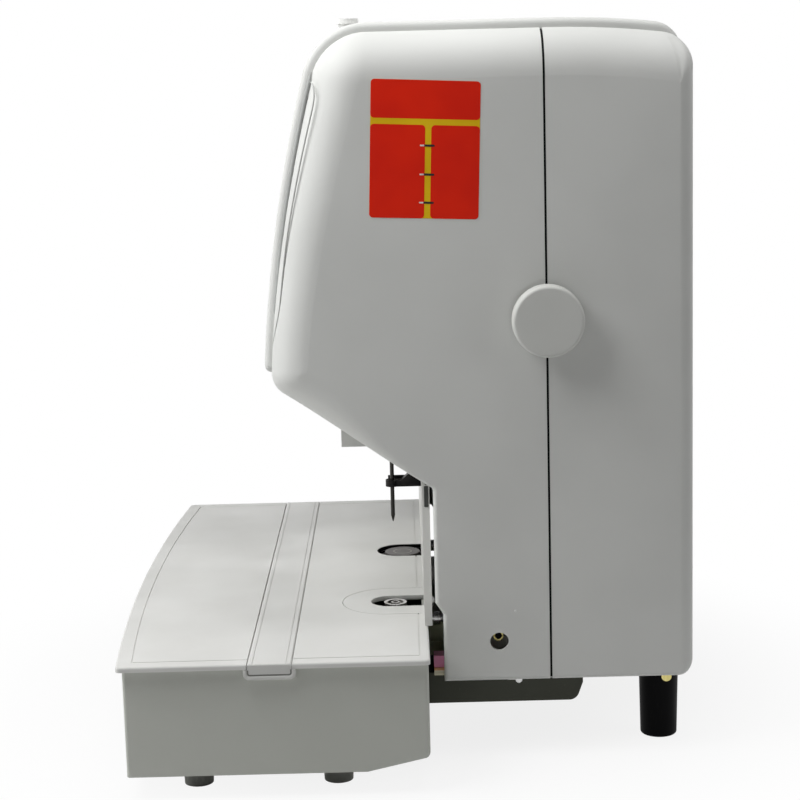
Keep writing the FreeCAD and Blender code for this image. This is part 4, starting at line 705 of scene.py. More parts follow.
# circuit boards: green resist over traces, with pads
boardLook = {
    "resist": rgb(24, 74, 48),
    "trace": rgb(38, 96, 62),
    # the brown is lifted above the lower board's own colour: painted light for the shaded gap
    "phenolic": rgb(206, 140, 74),
    "phenolicTrace": rgb(188, 124, 62),
    "brownBelow": 0.062,     # metres: boards under this height are brown
    "pad": rgb(196, 190, 170),
    "traceWidth": 0.18,      # share of each lane
    "padSize": 0.12,
    "blocks": 180.0,         # to a metre
    "edge": (0.42, 0.5),
    "lanes": 90.0,
    "waver": 2.5,
    "rough": (0.3, 0.45),
    "bump": (0.4, 0.00008),
    "fixed": {"IOR": 1.5, "Coat Weight": 0.3},
}


def boardFinish():
    material, tree, shader = startMaterial("boardLaminate", boardLook)
    where = objectPlace(tree)
    voronoi = addNode(tree, "TexVoronoi", {"distance": "MANHATTAN"}, Vector=where, Scale=boardLook["blocks"])
    blocks = voronoi.outputs["Distance"]
    edges = ramp(tree, blocks, *boardLook["edge"])
    lanes = addNode(tree, "TexWave", {"bands_direction": "Z"}, Vector=where, Scale=boardLook["lanes"],
                    Distortion=boardLook["waver"])
    traces = over(tree, lanes.outputs["Fac"], 1.0 - boardLook["traceWidth"])
    padsAt = under(tree, blocks, boardLook["padSize"])
    drawn = larger(tree, edges, traces)
    green = blendColour(tree, drawn, boardLook["resist"], boardLook["trace"])
    brown = blendColour(tree, drawn, boardLook["phenolic"], boardLook["phenolicTrace"])
    up = axesOf(tree, where)["Z"]
    colour = blendColour(tree, under(tree, up, boardLook["brownBelow"]), green, brown)
    colour = blendColour(tree, padsAt, colour, boardLook["pad"])
    feed(tree, shader, colour, ramp(tree, edges, 0.0, 1.0, *boardLook["rough"], smooth=False))
    bumpFrom(tree, shader, traces, *boardLook["bump"])
    return material


dress(boardFinish(), "circuit_boards")
print("boards dressed")


# mesh helpers; places are in millimetres until a mesh is made
# quads over rings of points, from each ring to the next
def ringQuads(rows, count):
    row = np.arange(rows - 1)[:, None]
    step = np.arange(count)[None, :]
    following = (step + 1) % count
    quads = np.stack([row * count + step, row * count + following,
                      (row + 1) * count + following, (row + 1) * count + step], axis=-1)
    return quads.reshape(-1, 4)


# closed skin over rings of points: quads from ring to ring, and a fan of triangles over each end
def closedSkin(rings):
    rows, count = rings.shape[:2]
    points = np.concatenate([rings.reshape(-1, 3), rings[:1].mean(axis=1), rings[-1:].mean(axis=1)])
    step = np.arange(count)
    following = (step + 1) % count
    lastRow = (rows - 1) * count
    first = np.stack([following, step, np.full(count, rows * count)], axis=1)
    last = np.stack([lastRow + step, lastRow + following, np.full(count, rows * count + 1)], axis=1)
    return points, ringQuads(rows, count).tolist() + first.tolist() + last.tolist()


# new piece on the machine's body; rings is a (rings, points, 3) array in millimetres, in place
def addPiece(name, rings, material, sharpAngle=38.0):
    points, faces = closedSkin(rings / 1000.0)
    data = bpy.data.meshes.new(name)
    data.from_pydata(points.tolist(), [], faces)
    data.validate()
    skin = bmesh.new()
    skin.from_mesh(data)
    insideOut = skin.calc_volume(signed=True) < 0.0
    skin.free()
    if insideOut:
        data.flip_normals()
    data.polygons.foreach_set("use_smooth", np.ones(len(data.polygons), bool))
    data.set_sharp_from_angle(angle=math.radians(sharpAngle))
    data.materials.append(material)
    data.update()
    piece = bpy.data.objects.new(name, data)
    bpy.context.scene.collection.objects.link(piece)
    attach(piece, "machine")


# X, Y and Z arrays of any matching shapes as one array of points
def points3(x, y, z):
    return np.stack(np.broadcast_arrays(x, y, z), axis=-1)


# cosines and sines of evenly spaced angles round a circle, as (count, 2)
def circle(count, start=0.0):
    angle = start + np.arange(count) * 2 * math.pi / count
    return np.stack([np.cos(angle), np.sin(angle)], axis=1)


# rounded rectangle about the origin: each corner's centre plus a turning radius
def roundedOutline(halfWide, halfTall, radius, count=64):
    turn = circle(count, math.pi / count)
    return np.sign(turn) * (halfWide - radius, halfTall - radius) + radius * turn


# a flat print of some outline: rings rise at its edge, then shrink to its middle, above place(across, up)
def printPatch(name, outline, place, rise, thick, material):
    shrink = np.array([0.5, 1.0, 1.0, 0.97, 0.5])
    rises = rise + thick * np.array([0.0, 0.0, 0.85, 1.0, 1.0])
    centre = outline.mean(axis=0)
    flat = centre + (outline - centre)[None] * shrink[:, None, None]
    rings = place(flat[..., 0], flat[..., 1], np.broadcast_to(rises[:, None], flat.shape[:2]))
    addPiece(name, rings, material)


# plain colour decal on the casing's side
decal = {
    "topLeft": (-10.9, 399.9),        # corners as (Y, Z)
    "topRight": (50.7, 396.7),
    "lowRight": (47.9, 319.7),
    "lowLeft": (-14.0, 322.4),
    "wide": 61.7,
    "tall": 77.0,
    "corner": 2.2,
    "cornerShare": 0.98,              # a corner is never more than this share of half a narrow patch
    "side": 140.0,
    "sheet": 0.12,                    # thickness of the film
    "ink": 0.05,                      # the panels stand this far above it
    "band": 3.4,                      # width of the yellow between the panels
    "dividerDown": 0.30,              # share of the height above the level divider
    "dividerAcross": 0.53,            # share of the width left of the upright divider
    "ticks": (0.47, 0.68, 0.885),     # shares of the height
    "tickReach": (-0.035, 0.06),      # shares of the width, from the upright divider
    "dashReach": (-0.075, -0.035),
    "tickHalf": 0.008,
    "dashHalf": 0.006,
}
decalInks = {
    "yellow": (rgb(236, 196, 22), rgb(226, 184, 16)),
    "red": (rgb(232, 34, 0), rgb(222, 28, 0)),
    "black": (rgb(16, 15, 14), rgb(24, 22, 20)),
    "pale": (rgb(232, 226, 220), rgb(222, 214, 208)),
}
printLook = {
    "rough": 0.46,
    "smear": 0.1,
    "bump": (0.12, 0.00005),
    "skin": {"Grain": 1200.0, "Flow": 35.0},
    "marks": {"Smudge": 0.6, "Scratch": 0.4},
    "fixed": {"IOR": 1.45, "Specular IOR Level": 0.3},
}


# bilinear place on the casing's side: across and down run 0 to 1 over the decal
def decalPlace(across, down, rise):
    topLeft, topRight, lowLeft, lowRight = [np.array(decal[key]) for key in
                                            ("topLeft", "topRight", "lowLeft", "lowRight")]
    a, d = across[..., None], down[..., None]
    flat = (topLeft * (1 - a) + topRight * a) * (1 - d) + (lowLeft * (1 - a) + lowRight * a) * d
    return points3(decal["side"] + rise, flat[..., 0], flat[..., 1])


# patch of the decal between two corners, each a share of its width and height
def decalPatch(name, low, high, rise, thick, material):
    size = np.array([decal["wide"], decal["tall"]])
    low, high = np.array(low), np.array(high)
    half = (high - low) * size / 2
    corner = min(decal["corner"], min(half) * decal["cornerShare"])
    outline = roundedOutline(half[0], half[1], corner) * (1.0, -1.0) / size + (low + high) / 2
    printPatch(f"sideDecal_{name}", outline, decalPlace, rise, thick, material)


# screen print on vinyl: slight mottle, fine orange peel
def printFinish(name, colour, second):
    material, tree, shader = startMaterial(name, printLook)
    skin = useGroup(tree, "skin", **printLook["skin"])
    marks = useGroup(tree, "handled", **printLook["marks"])
    feed(tree, shader, blendColour(tree, skin["Tone"], colour, second),
         plus(tree, times(tree, marks["Smudges"], printLook["smear"]), printLook["rough"]))
    bumpFrom(tree, shader, skin["Height"], *printLook["bump"])
    return material


# the sheet, three red panels with yellow between them, and short plain ticks beside the divider
def makeDecal():
    inks = {name: printFinish("decal" + name.title(), *pair) for name, pair in decalInks.items()}
    sheet, ink = decal["sheet"], decal["ink"]
    halfX = decal["band"] / 2 / decal["wide"]
    halfZ = decal["band"] / 2 / decal["tall"]
    down, across = decal["dividerDown"], decal["dividerAcross"]
    decalPatch("sheet", (0.0, 0.0), (1.0, 1.0), 0.0, sheet, inks["yellow"])
    decalPatch("top", (0.0, 0.0), (1.0, down - halfZ), sheet, ink, inks["red"])
    decalPatch("left", (0.0, down + halfZ), (across - halfX, 1.0), sheet, ink, inks["red"])
    decalPatch("right", (across + halfX, down + halfZ), (1.0, 1.0), sheet, ink, inks["red"])
    for number, place in enumerate(decal["ticks"], 1):
        for mark, colour in (("tick", "black"), ("dash", "pale")):
            near, far = decal[mark + "Reach"]
            half = decal[mark + "Half"]
            decalPatch(f"{mark}_{number}", (across + near, place - half), (across + far, place + half),
                       sheet + ink, ink, inks[colour])


makeDecal()
print("side decal laid")


# the head's side outline, as (Y, Z), for the pieces that follow its faces
head = {
    "frontTop": (-46.5, 400.0),       # ends of the bowed front's chord
    "frontLow": (-73.5, 238.0),
    "bow": 3.8,
    "roof": 427.0,
    "roofBreak": 90.0,                # the roof is level in front of this, and falls on an arc behind
    "roofBow": 516.0,
    "crownRadius": 34.0,
    "shoulder": 118.0,                # X where the front starts to round into the side
    "shoulderRadius": 22.0,
}


# centre and radius of the bowed front: the circle through the chord's ends that stands bow out of it
def frontCircle():
    top, low = np.array(head["frontTop"]), np.array(head["frontLow"])
    chord = top - low
    length = np.hypot(*chord)
    radius = (length ** 2 / 4 + head["bow"] ** 2) / (2 * head["bow"])
    outward = np.array([-chord[1], chord[0]]) / length
    return (top + low) / 2 - outward * (radius - head["bow"]), radius


frontCentre, frontRadius = frontCircle()


# points and outward normals of an arc in a plane, radius times the cosine and sine of its angles
def arcPoints(centre, radius, start, end, count):
    angle = np.linspace(start, end, count)
    normal = np.stack([np.cos(angle), np.sin(angle)], axis=1)
    return np.asarray(centre) + radius * normal, normal


# rounded edge of the raised band that runs up the front and over the roof
bandEdge = {
    "halfWide": 115.0,
    "rise": 4.5,
    "lowZ": 237.2,
    "rear": 166.5,
    "rearRadius": 18.0,
    "rearEnd": 0.42,         # radians round the rear corner where the edge sinks into the casing
    "sideReach": 4.5,        # how far the rounding spreads sideways, and downwards at the low end
    "lowReach": 5.6,
    "fullness": 2.4,         # 2 is a quarter ellipse, more is squarer
    "buried": 1.8,
    "inner": -0.15,          # the hidden back stands this share of the reach inside the rim
    "innerLift": -0.3,
}


# rim of the band on one side, from its rear end over the roof and down the front
def bandRim():
    rise = bandEdge["rise"]
    crownRadius = head["crownRadius"]
    crownZ = head["roof"] - crownRadius
    crownUp = crownZ - frontCentre[1]
    crownY = frontCentre[0] - math.sqrt((frontRadius - crownRadius) ** 2 - crownUp ** 2)
    crownAngle = math.pi - math.asin(crownUp / (frontRadius - crownRadius))
    roofCentre = (head["roofBreak"], head["roof"] - head["roofBow"])
    rearY = bandEdge["rear"] - bandEdge["rearRadius"]
    reach = head["roofBow"] + rise - bandEdge["rearRadius"]
    rearZ = roofCentre[1] + math.sqrt(reach ** 2 - (rearY - roofCentre[0]) ** 2)
    rearAngle = math.atan2(rearZ - roofCentre[1], rearY - roofCentre[0])
    lowAngle = math.pi - math.asin((bandEdge["lowZ"] - frontCentre[1]) / (frontRadius + rise))
    runs = [
        arcPoints((rearY, rearZ), bandEdge["rearRadius"], bandEdge["rearEnd"], rearAngle, 14),
        arcPoints(roofCentre, head["roofBow"] + rise, rearAngle, math.pi / 2, 14),
        arcPoints((crownY, crownZ), crownRadius + rise, math.pi / 2, crownAngle, 22),
        arcPoints(frontCentre, frontRadius + rise, crownAngle, lowAngle, 34),
    ]
    places, normals = [np.concatenate(parts) for parts in zip(*runs)]
    fresh = np.append(True, np.hypot(*np.diff(places, axis=0).T) > 0.01)
    return places[fresh], normals[fresh]


# a squared quarter ellipse carried along the rim: sideways by reach times the sine, and sunk by rise
# times one less the cosine
def makeBandEdge():
    places, normals = bandRim()
    rows = len(places)
    half = bandEdge["halfWide"]
    sideX = np.tile([1.0, 0.0, 0.0], (rows, 1))
    rim = np.column_stack([np.full(rows, half), places])
    out = np.column_stack([np.zeros(rows), normals])
    # round the low corner the rim stands still while its outward direction turns from sideways to down
    down = np.array([0.0, normals[-1, 1], -normals[-1, 0]])
    down = down if down[2] < 0 else -down
    turn = np.linspace(0, math.pi / 2, 10)[1:, None]
    cornerWay = np.cos(turn) * sideX[:1] + np.sin(turn) * down
    lowX = np.linspace(half, 0.0, 12)[1:]
    lowRim = np.column_stack([lowX, np.tile(rim[-1, 1:], (len(lowX), 1))])
    rimHalf = np.concatenate([rim, np.tile(rim[-1], (len(turn), 1)), lowRim])
    wayHalf = np.concatenate([sideX, cornerWay, np.tile(down, (len(lowX), 1))])
    outHalf = np.concatenate([out, np.tile(out[-1], (len(turn) + len(lowX), 1))])
    mirror = np.array([-1.0, 1.0, 1.0])
    rim, way, out = [np.concatenate([part, part[-2::-1] * mirror]) for part in (rimHalf, wayHalf, outHalf)]
    share = np.abs(way[:, 2] * out[:, 1] - way[:, 1] * out[:, 2])
    reach = bandEdge["sideReach"] + (bandEdge["lowReach"] - bandEdge["sideReach"]) * np.clip(share, 0, 1)
    angle = np.linspace(0, math.pi / 2, 12)
    power, rise = 2 / bandEdge["fullness"], bandEdge["rise"]
    foot = -rise - bandEdge["buried"]
    sideways = np.concatenate([np.sin(angle) ** power, [1.0, bandEdge["inner"], bandEdge["inner"]]])
    lift = np.concatenate([rise * np.cos(angle) ** power - rise, [foot, foot, bandEdge["innerLift"]]])
    rings = (rim[:, None] + way[:, None] * (reach[:, None] * sideways)[..., None]
             + out[:, None] * lift[None, :, None])
    addPiece("bandEdge", rings, bpy.data.materials["casingPlastic"])


makeBandEdge()
print("band edge rounded")


# lines moulded down the front panel's shoulders, their paths as (height, angle round the shoulder in
# degrees); their grey is painted shade of the panel's grooves and steps
shoulderLines = {
    "gap": {
        "path": ((405.0, 2.0), (402.5, 8.0), (398.0, 10.0), (350.0, 9.0), (310.0, 8.0),
                 (280.0, 6.0), (262.0, 1.0)),
        "radius": 1.15,
        "sunk": 0.35,
        # darker grey than the casing: painted shade of the shadow gap
        "colour": rgb(168, 170, 168),
        "second": rgb(160, 162, 160),
    },
    "lip": {
        "path": ((399.5, 14.0), (398.6, 30.0), (395.0, 41.0), (386.0, 43.0), (350.0, 38.0), (310.0, 32.0),
                 (272.0, 31.0), (264.0, 27.0), (254.0, 17.0), (246.5, 6.0)),
        "radius": 0.5,
        "sunk": 0.2,
        "colour": rgb(196, 198, 195),
        "second": rgb(190, 192, 189),
    },
}
shoulderRun = {
    "steps": 90,
    "blend": 7,              # steps that are averaged to ease the path's corners
    "taper": 6.0,            # length over which each end thins out
    "thinnest": 0.15,
}


# place on the rounded shoulder: inwards from the front by its radius, then out again at the angle
def shoulderPlace(height, angle, lift, side):
    turn = math.pi - np.arcsin((height - frontCentre[1]) / frontRadius)
    normal = np.stack([np.cos(turn), np.sin(turn)], axis=-1)
    deep = frontCentre + (frontRadius - head["shoulderRadius"]) * normal
    reach = head["shoulderRadius"] + lift
    flat = deep + (reach * np.cos(angle))[:, None] * normal
    return points3(side * (head["shoulder"] + reach * np.sin(angle)), flat[:, 0], flat[:, 1])


# round bead, partly sunk: a circle carried along the path, across it and along the surface's normal
def makeShoulderLine(name, look, side, material):
    path = np.array(look["path"]) * (1.0, math.radians(1.0))
    stretch = np.diff(path, axis=0) * (1.0, head["shoulderRadius"])
    stops = np.append(0.0, np.cumsum(np.hypot(stretch[:, 0], stretch[:, 1])))
    along = np.linspace(0.0, stops[-1], shoulderRun["steps"])
    blend = shoulderRun["blend"]
    eased = slice(blend // 2, -(blend // 2))
    height, angle = [np.interp(along, stops, values) for values in path.T]
    height[eased] = np.convolve(height, np.ones(blend) / blend, "valid")
    angle[eased] = np.convolve(angle, np.ones(blend) / blend, "valid")
    fromEnd = np.minimum(along, stops[-1] - along)
    radius = look["radius"] * np.clip(fromEnd / shoulderRun["taper"], shoulderRun["thinnest"], 1.0)
    middle = shoulderPlace(height, angle, -look["sunk"], side)
    normal = shoulderPlace(height, angle, 1.0, side) - middle
    normal /= np.linalg.norm(normal, axis=1)[:, None]
    ahead = np.gradient(middle, axis=0)
    ahead /= np.linalg.norm(ahead, axis=1)[:, None]
    round12 = circle(12)[None, :, :, None]
    section = round12[:, :, 0] * np.cross(ahead, normal)[:, None] + round12[:, :, 1] * normal[:, None]
    addPiece(name, middle[:, None] + radius[:, None, None] * section, material)


# the casing's plastic in each line's darker grey: painted shade
for label, look in shoulderLines.items():
    paintedShadeFinish = plasticFinish(label + "Plastic", dict(casingLook, colour=look["colour"], second=look["second"]))
    makeShoulderLine(label + "Line_right", look, 1.0, paintedShadeFinish)
    makeShoulderLine(label + "Line_left", look, -1.0, paintedShadeFinish)
print("shoulder lines moulded")


# plain shapes printed over the keys: start, up, down and stop
keyMarks = {
    "height": 279.6,
    "pitch": 30.0,
    "size": 3.0,
    "cut": 0.9,              # share of the size where the corners are cut off
    "film": 4.1,             # the film's face stands this far out of the casing's front
    "sunk": 0.05,
    "thick": 0.14,
    "shapes": ((3, 0.0), (3, 0.5), (3, -0.5), (4, 0.25)),     # sides, and turn as a share of a half turn
    "colour": rgb(214, 216, 218),
    "second": rgb(204, 206, 208),
}


# place on the bowed film, for a print
def panelPlace(across, up, rise):
    reach = frontRadius + keyMarks["film"] + rise
    forward = frontCentre[0] - np.sqrt(reach ** 2 - (up - frontCentre[1]) ** 2)
    return points3(across, forward, up)


# regular polygon with eased corners: its apothem over the cosine of the angle from the nearest side
def polygonOutline(sides, size, turn, count=72):
    angle = np.linspace(0, 2 * math.pi, count, endpoint=False)
    sector = 2 * math.pi / sides
    off = (angle + sector / 2) % sector - sector / 2
    reach = size * np.cos(math.pi / sides) / np.cos(np.abs(off) - math.pi / sides)
    reach = np.minimum(reach, size * keyMarks["cut"])
    return np.stack([reach * np.cos(angle + turn), reach * np.sin(angle + turn)], axis=1)


def makeKeyMarks():
    ink = plasticFinish("keyMarkInk", dict(casingLook, colour=keyMarks["colour"], second=keyMarks["second"]))
    middle = (len(keyMarks["shapes"]) - 1) / 2
    for number, (sides, turn) in enumerate(keyMarks["shapes"]):
        centre = ((number - middle) * keyMarks["pitch"], keyMarks["height"])
        outline = polygonOutline(sides, keyMarks["size"], turn * math.pi) + centre
        printPatch(f"keyMark_{number + 1}", outline, panelPlace, -keyMarks["sunk"], keyMarks["thick"],
                   ink)


makeKeyMarks()
print("key marks printed")


# cross-recessed pan heads over the rear plates' screws
screwCap = {
    "places": ((94.0, 104.0), (94.0, 208.0), (94.0, 220.0), (94.0, 366.0)),    # X and Z, both sides
    "face": 170.5,
    "radius": 2.55,
    "dome": 1.15,
    "edge": 0.86,            # the dome sinks to this share towards its rounded rim
    "recess": 0.85,
    "armLength": 1.45,
    "armWidth": 0.42,
    "lengthSoft": 0.25,      # the recess runs out over these
    "widthSoft": 0.16,
    "foot": 0.4,
    "rings": 22,
    "spokes": 48,
}


# polar grid whose height is a flattened dome less a soft cross; its foot drops straight from the rim
def makeScrewCap(name, centre, turn, material):
    share = np.linspace(1.0, 0.0, screwCap["rings"])[:-1, None]
    spoke = circle(screwCap["spokes"])
    across = screwCap["radius"] * share * spoke[:, 0]
    up = screwCap["radius"] * share * spoke[:, 1]
    edge = screwCap["edge"]
    dome = screwCap["dome"] * (1 - share ** 4) ** 0.5 * (edge + (1 - edge) * (1 - share ** 2))
    longWay = np.maximum(np.abs(across), np.abs(up))
    crossWay = np.minimum(np.abs(across), np.abs(up))
    arm = (np.clip((screwCap["armLength"] - longWay) / screwCap["lengthSoft"], 0, 1)
           * np.clip((screwCap["armWidth"] - crossWay) / screwCap["widthSoft"], 0, 1))
    height = dome - screwCap["recess"] * arm * np.clip(dome, 0, 1)
    spinX = across * math.cos(turn) - up * math.sin(turn)
    spinZ = across * math.sin(turn) + up * math.cos(turn)
    rings = points3(centre[0] + spinX, screwCap["face"] + height, centre[1] + spinZ)
    foot = rings[:1] - (0.0, screwCap["foot"], 0.0)
    addPiece(name, np.concatenate([foot, rings]), material)


screwSteel = metalFinish("screwSteel", dict(steelLook, stretch=(900.0, 900.0, 900.0), dust=0.3))
for number, (x, z) in enumerate(screwCap["places"]):
    for side, label in ((1.0, "right"), (-1.0, "left")):
        turn = 0.4 + number * 1.1 + side * 0.6      # no two heads stopped at the same angle
        makeScrewCap(f"screwCap_{label}_{number + 1}", (side * x, z), turn, screwSteel)
print("screw heads cut")


# black strip in the groove between the front and rear shells: painted shade, standing for the groove's shadow
seamStrip = {
    "middle": 86.0,          # Y of the groove
    "halfWide": 0.62,
    "sideX": 138.5,          # the groove's floor on the casing's side, and on the roof's rounding
    "bendCentre": (112.0, 399.0),
    "bendRadius": 26.5,
    "bendEnd": 1.36,         # radians up the rounding where the raised band starts
    "low": 48.5,
    "knobLow": 246.0,        # the strip stops behind the knob, clear of its shaft
    "knobHigh": 278.0,
    "bandZ": 430.0,
    "bandHalf": 112.0,
    "under": 0.2,
    "over": 0.7,
    "colour": rgb(16, 16, 17),
    "second": rgb(10, 10, 11),
}


# rectangle carried along a path in the X-Z plane: half the width along Y, and under and over along the normal
def makeSeamStrip(name, path, normals, material):
    half, low, high = seamStrip["halfWide"], -seamStrip["under"], seamStrip["over"]
    across = np.array([-half, half, half, -half])
    lift = np.array([low, low, high, high])
    flat = path[:, None] + normals[:, None] * lift[None, :, None]
    rings = points3(flat[..., 0], seamStrip["middle"] + across, flat[..., 1])
    addPiece(name, rings, material)


def makeSeamStrips():
    # its near-black colour is painted shade of the groove
    look = dict(beltLook, colour=seamStrip["colour"], second=seamStrip["second"],
                fixed={"IOR": 1.5, "Specular IOR Level": 0.08})
    darkFinish = plasticFinish("seamPaintedShade", look)
    sideX, half = seamStrip["sideX"], seamStrip["bandHalf"]
    bend, bendNormals = arcPoints(seamStrip["bendCentre"], seamStrip["bendRadius"], 0.0,
                                  seamStrip["bendEnd"], 24)
    outward = np.array([[1.0, 0.0], [1.0, 0.0]])
    low = np.array([[sideX, seamStrip["low"]], [sideX, seamStrip["knobLow"]]])
    high = np.concatenate([[[sideX, seamStrip["knobHigh"]]], bend])
    highNormals = np.concatenate([outward[:1], bendNormals])
    for side, label in ((1.0, "right"), (-1.0, "left")):
        mirror = np.array([side, 1.0])
        makeSeamStrip(f"seamStrip_{label}_low", low * mirror, outward * mirror, darkFinish)
        makeSeamStrip(f"seamStrip_{label}_high", high * mirror, highNormals * mirror, darkFinish)
    roof = np.array([[-half, seamStrip["bandZ"]], [half, seamStrip["bandZ"]]])
    makeSeamStrip("seamStrip_top", roof, np.array([[0.0, 1.0], [0.0, 1.0]]), darkFinish)


makeSeamStrips()
print("seam filled")


# black ring laid on the wall of the open slot round the cutting pad
padSlotBlack = {
    "centreX": -46.0,
    "bendY": -2.0,           # centre of the slot's round front end
    "rear": 13.6,
    "outer": 16.05,
    "inner": 15.5,
    "low": 77.3,
    "high": 79.7,
}


# rectangle carried along the slot's wall: straight, half a turn round the front end, and straight back
def makePadSlotBlack():
    turn = np.linspace(0.0, -math.pi, 40)
    wall = np.stack([np.cos(turn), np.sin(turn)], axis=1)
    ways = np.concatenate([[[1.0, 0.0]], wall, [[-1.0, 0.0]]])
    centre = np.tile([padSlotBlack["centreX"], padSlotBlack["bendY"]], (len(ways), 1))
    centre[[0, -1], 1] = padSlotBlack["rear"]
    inner, outer = padSlotBlack["inner"], padSlotBlack["outer"]
    flat = centre[:, None] + ways[:, None] * np.array([inner, outer, outer, inner])[None, :, None]
    height = np.repeat([padSlotBlack["low"], padSlotBlack["high"]], 2)
    addPiece("padSlotBlack", points3(flat[..., 0], flat[..., 1], height),
             bpy.data.materials["blackPlastic"])


makePadSlotBlack()
print("pad slot lined")


# raised lip round the strip's folded end, with a dark line inside it: painted shade standing for a groove
endLip = {
    "centreY": -76.0,
    "high": 76.7,            # both stop at this Z, under the table's edge
    "lip": {"halfWide": 13.65, "low": 72.1, "corner": 2.4, "half": 1.1, "proud": 0.42},
    "line": {"halfWide": 12.1, "low": 73.7, "corner": 1.2, "half": 0.42, "proud": 0.05},
    "foldHalf": 12.55,       # half the width of the strip's fold, with its gap
    "foldX": 200.01,
    "rimX": 198.42,          # face of the base's rim beside the fold
    "grooveShadeColour": rgb(122, 122, 118),
    "grooveShadeSecond": rgb(114, 114, 110),
}


# down one side, a quarter turn, across, a quarter turn and up: places about the strip's middle, and normals
def endPath(look):
    radius = look["corner"]
    centre = (look["halfWide"] - radius, look["low"] + radius)
    corner, normals = arcPoints(centre, radius, 0.0, -math.pi / 2, 9)
    places = np.concatenate([[[look["halfWide"], endLip["high"]]], corner])
    normals = np.concatenate([normals[:1], normals])
    mirror = np.array([-1.0, 1.0])
    return np.concatenate([places, places[::-1] * mirror]), np.concatenate([normals, normals[::-1] * mirror])


# a low section carried along the path: across is a share of half its width, and lift a share of how proud it
# is; where lift is negative the section lies on the fold or, beside it, on the rim
def makeEndTrim(name, look, across, lift, material):
    places, normals = endPath(look)
    flat = places[:, None] + normals[:, None] * (look["half"] * across)[None, :, None]
    back = np.where(np.abs(flat[..., 0]) < endLip["foldHalf"], endLip["foldX"], endLip["rimX"])
    x = np.where(lift < 0.0, back, endLip["foldX"] + lift * look["proud"])
    addPiece(name, points3(x, flat[..., 0] + endLip["centreY"], flat[..., 1]), material)


# the lip's section is half an ellipse over a flat back, and the line's is a rectangle in a painted shade grey
def makeEndLip():
    turn = np.linspace(0.0, math.pi, 13)
    across = np.concatenate([np.cos(turn), [-1.0, 1.0]])
    lift = np.concatenate([np.sin(turn), [-1.0, -1.0]])
    makeEndTrim("stripEndLip", endLip["lip"], across, lift, plasticFinish("endLipPlastic", stripLook))
    dark = dict(stripLook, colour=endLip["grooveShadeColour"], second=endLip["grooveShadeSecond"])
    makeEndTrim("stripEndLine", endLip["line"], np.array([1.0, -1.0, -1.0, 1.0]),
                np.array([1.0, 1.0, -1.0, -1.0]), plasticFinish("endLinePaintedShade", dark))


makeEndLip()
print("strip's end trimmed")


# the base's rounded heel, under the slope of its rear end; places are (Y, Z)
heel = {
    "start": (-22.6, 14.03),         # where the slope starts
    "top": (13.0, 28.58),
    "low": (9.9, 21.2),              # ends of the rounded corner
    "rear": (13.0, 25.0),
    "knee": 0.6,                     # the rounding's pull stands this far above its low end
    "halfWide": 196.0,
    "upright": 2.0,                  # rounding of the base's upright rear corners
    "sharpAngle": 9.0,
}


# a rounded wedge carried from side to side: its profile is cut off where the base's corners round in
def makeHeel():
    low, rear = np.array(heel["low"]), np.array(heel["rear"])
    share = np.linspace(0.0, 1.0, 12)[:, None]
    knee = np.array([rear[0], low[1] + heel["knee"]])
    arc = (1 - share) ** 2 * rear + 2 * share * (1 - share) * knee + share ** 2 * low
    profile = np.concatenate([[heel["start"], heel["top"]], arc])
    turn = np.linspace(0.0, math.pi / 2, 8)
    edge = heel["halfWide"] - heel["upright"] + heel["upright"] * np.cos(turn)
    reach = heel["top"][0] - heel["upright"] + heel["upright"] * np.sin(turn)
    x = np.concatenate([edge, -edge[::-1]])[:, None]
    y = np.minimum(profile[None, :, 0], np.concatenate([reach, reach[::-1]])[:, None])
    slope = (heel["top"][1] - heel["start"][1]) / (heel["top"][0] - heel["start"][0])
    underside = heel["start"][1] + (y - heel["start"][0]) * slope
    addPiece("baseHeel", points3(x, y, np.minimum(profile[None, :, 1], underside)),
             bpy.data.materials["baseCoverPlastic"], heel["sharpAngle"])


makeHeel()
print("heel rounded")


# small fittings on flat faces: a dark patch on each fence end, a black disc as painted shade in the adjuster
# screw's socket, a pip and the pan's screws
fittings = {
    "fenceFace": 134.0,
    "fenceEndPatch": {"centre": (14.55, 158.3), "half": (1.25, 6.3), "corner": 0.6, "thick": 0.5},
    "fenceColour": rgb(70, 71, 69),
    "fenceSecond": rgb(60, 61, 59),
    "socketFace": 128.0,
    "socket": {"centre": (55.6, 71.0), "radius": 2.1, "thick": 0.12},
    "sunk": 0.05,
    "pip": {"centre": (139.95, 65.4, 89.4), "radius": 0.85, "dome": 0.45},
    "panScrew": {"centre": (124.95, 67.6, 42.5), "radius": 2.3, "dome": 1.1},
    "domeFoot": 0.3,
}


# dome on a side face: its height is the dome's times the root of one less the squared share of the radius
def makeDome(name, look, side, material):
    share = np.linspace(1.0, 0.0, 12)[:-1, None]
    spoke = circle(32)
    x, y, z = look["centre"]
    rings = points3(side * (x + look["dome"] * np.sqrt(1 - share ** 2)),
                    y + look["radius"] * share * spoke[:, 0], z + look["radius"] * share * spoke[:, 1])
    foot = rings[:1] - (side * fittings["domeFoot"], 0.0, 0.0)
    addPiece(name, np.concatenate([foot, rings]), material)


# place on a flat side face, for a print
def sidePlace(face, side):
    def place(across, up, rise):
        return points3(side * (face + rise), across, up)
    return place


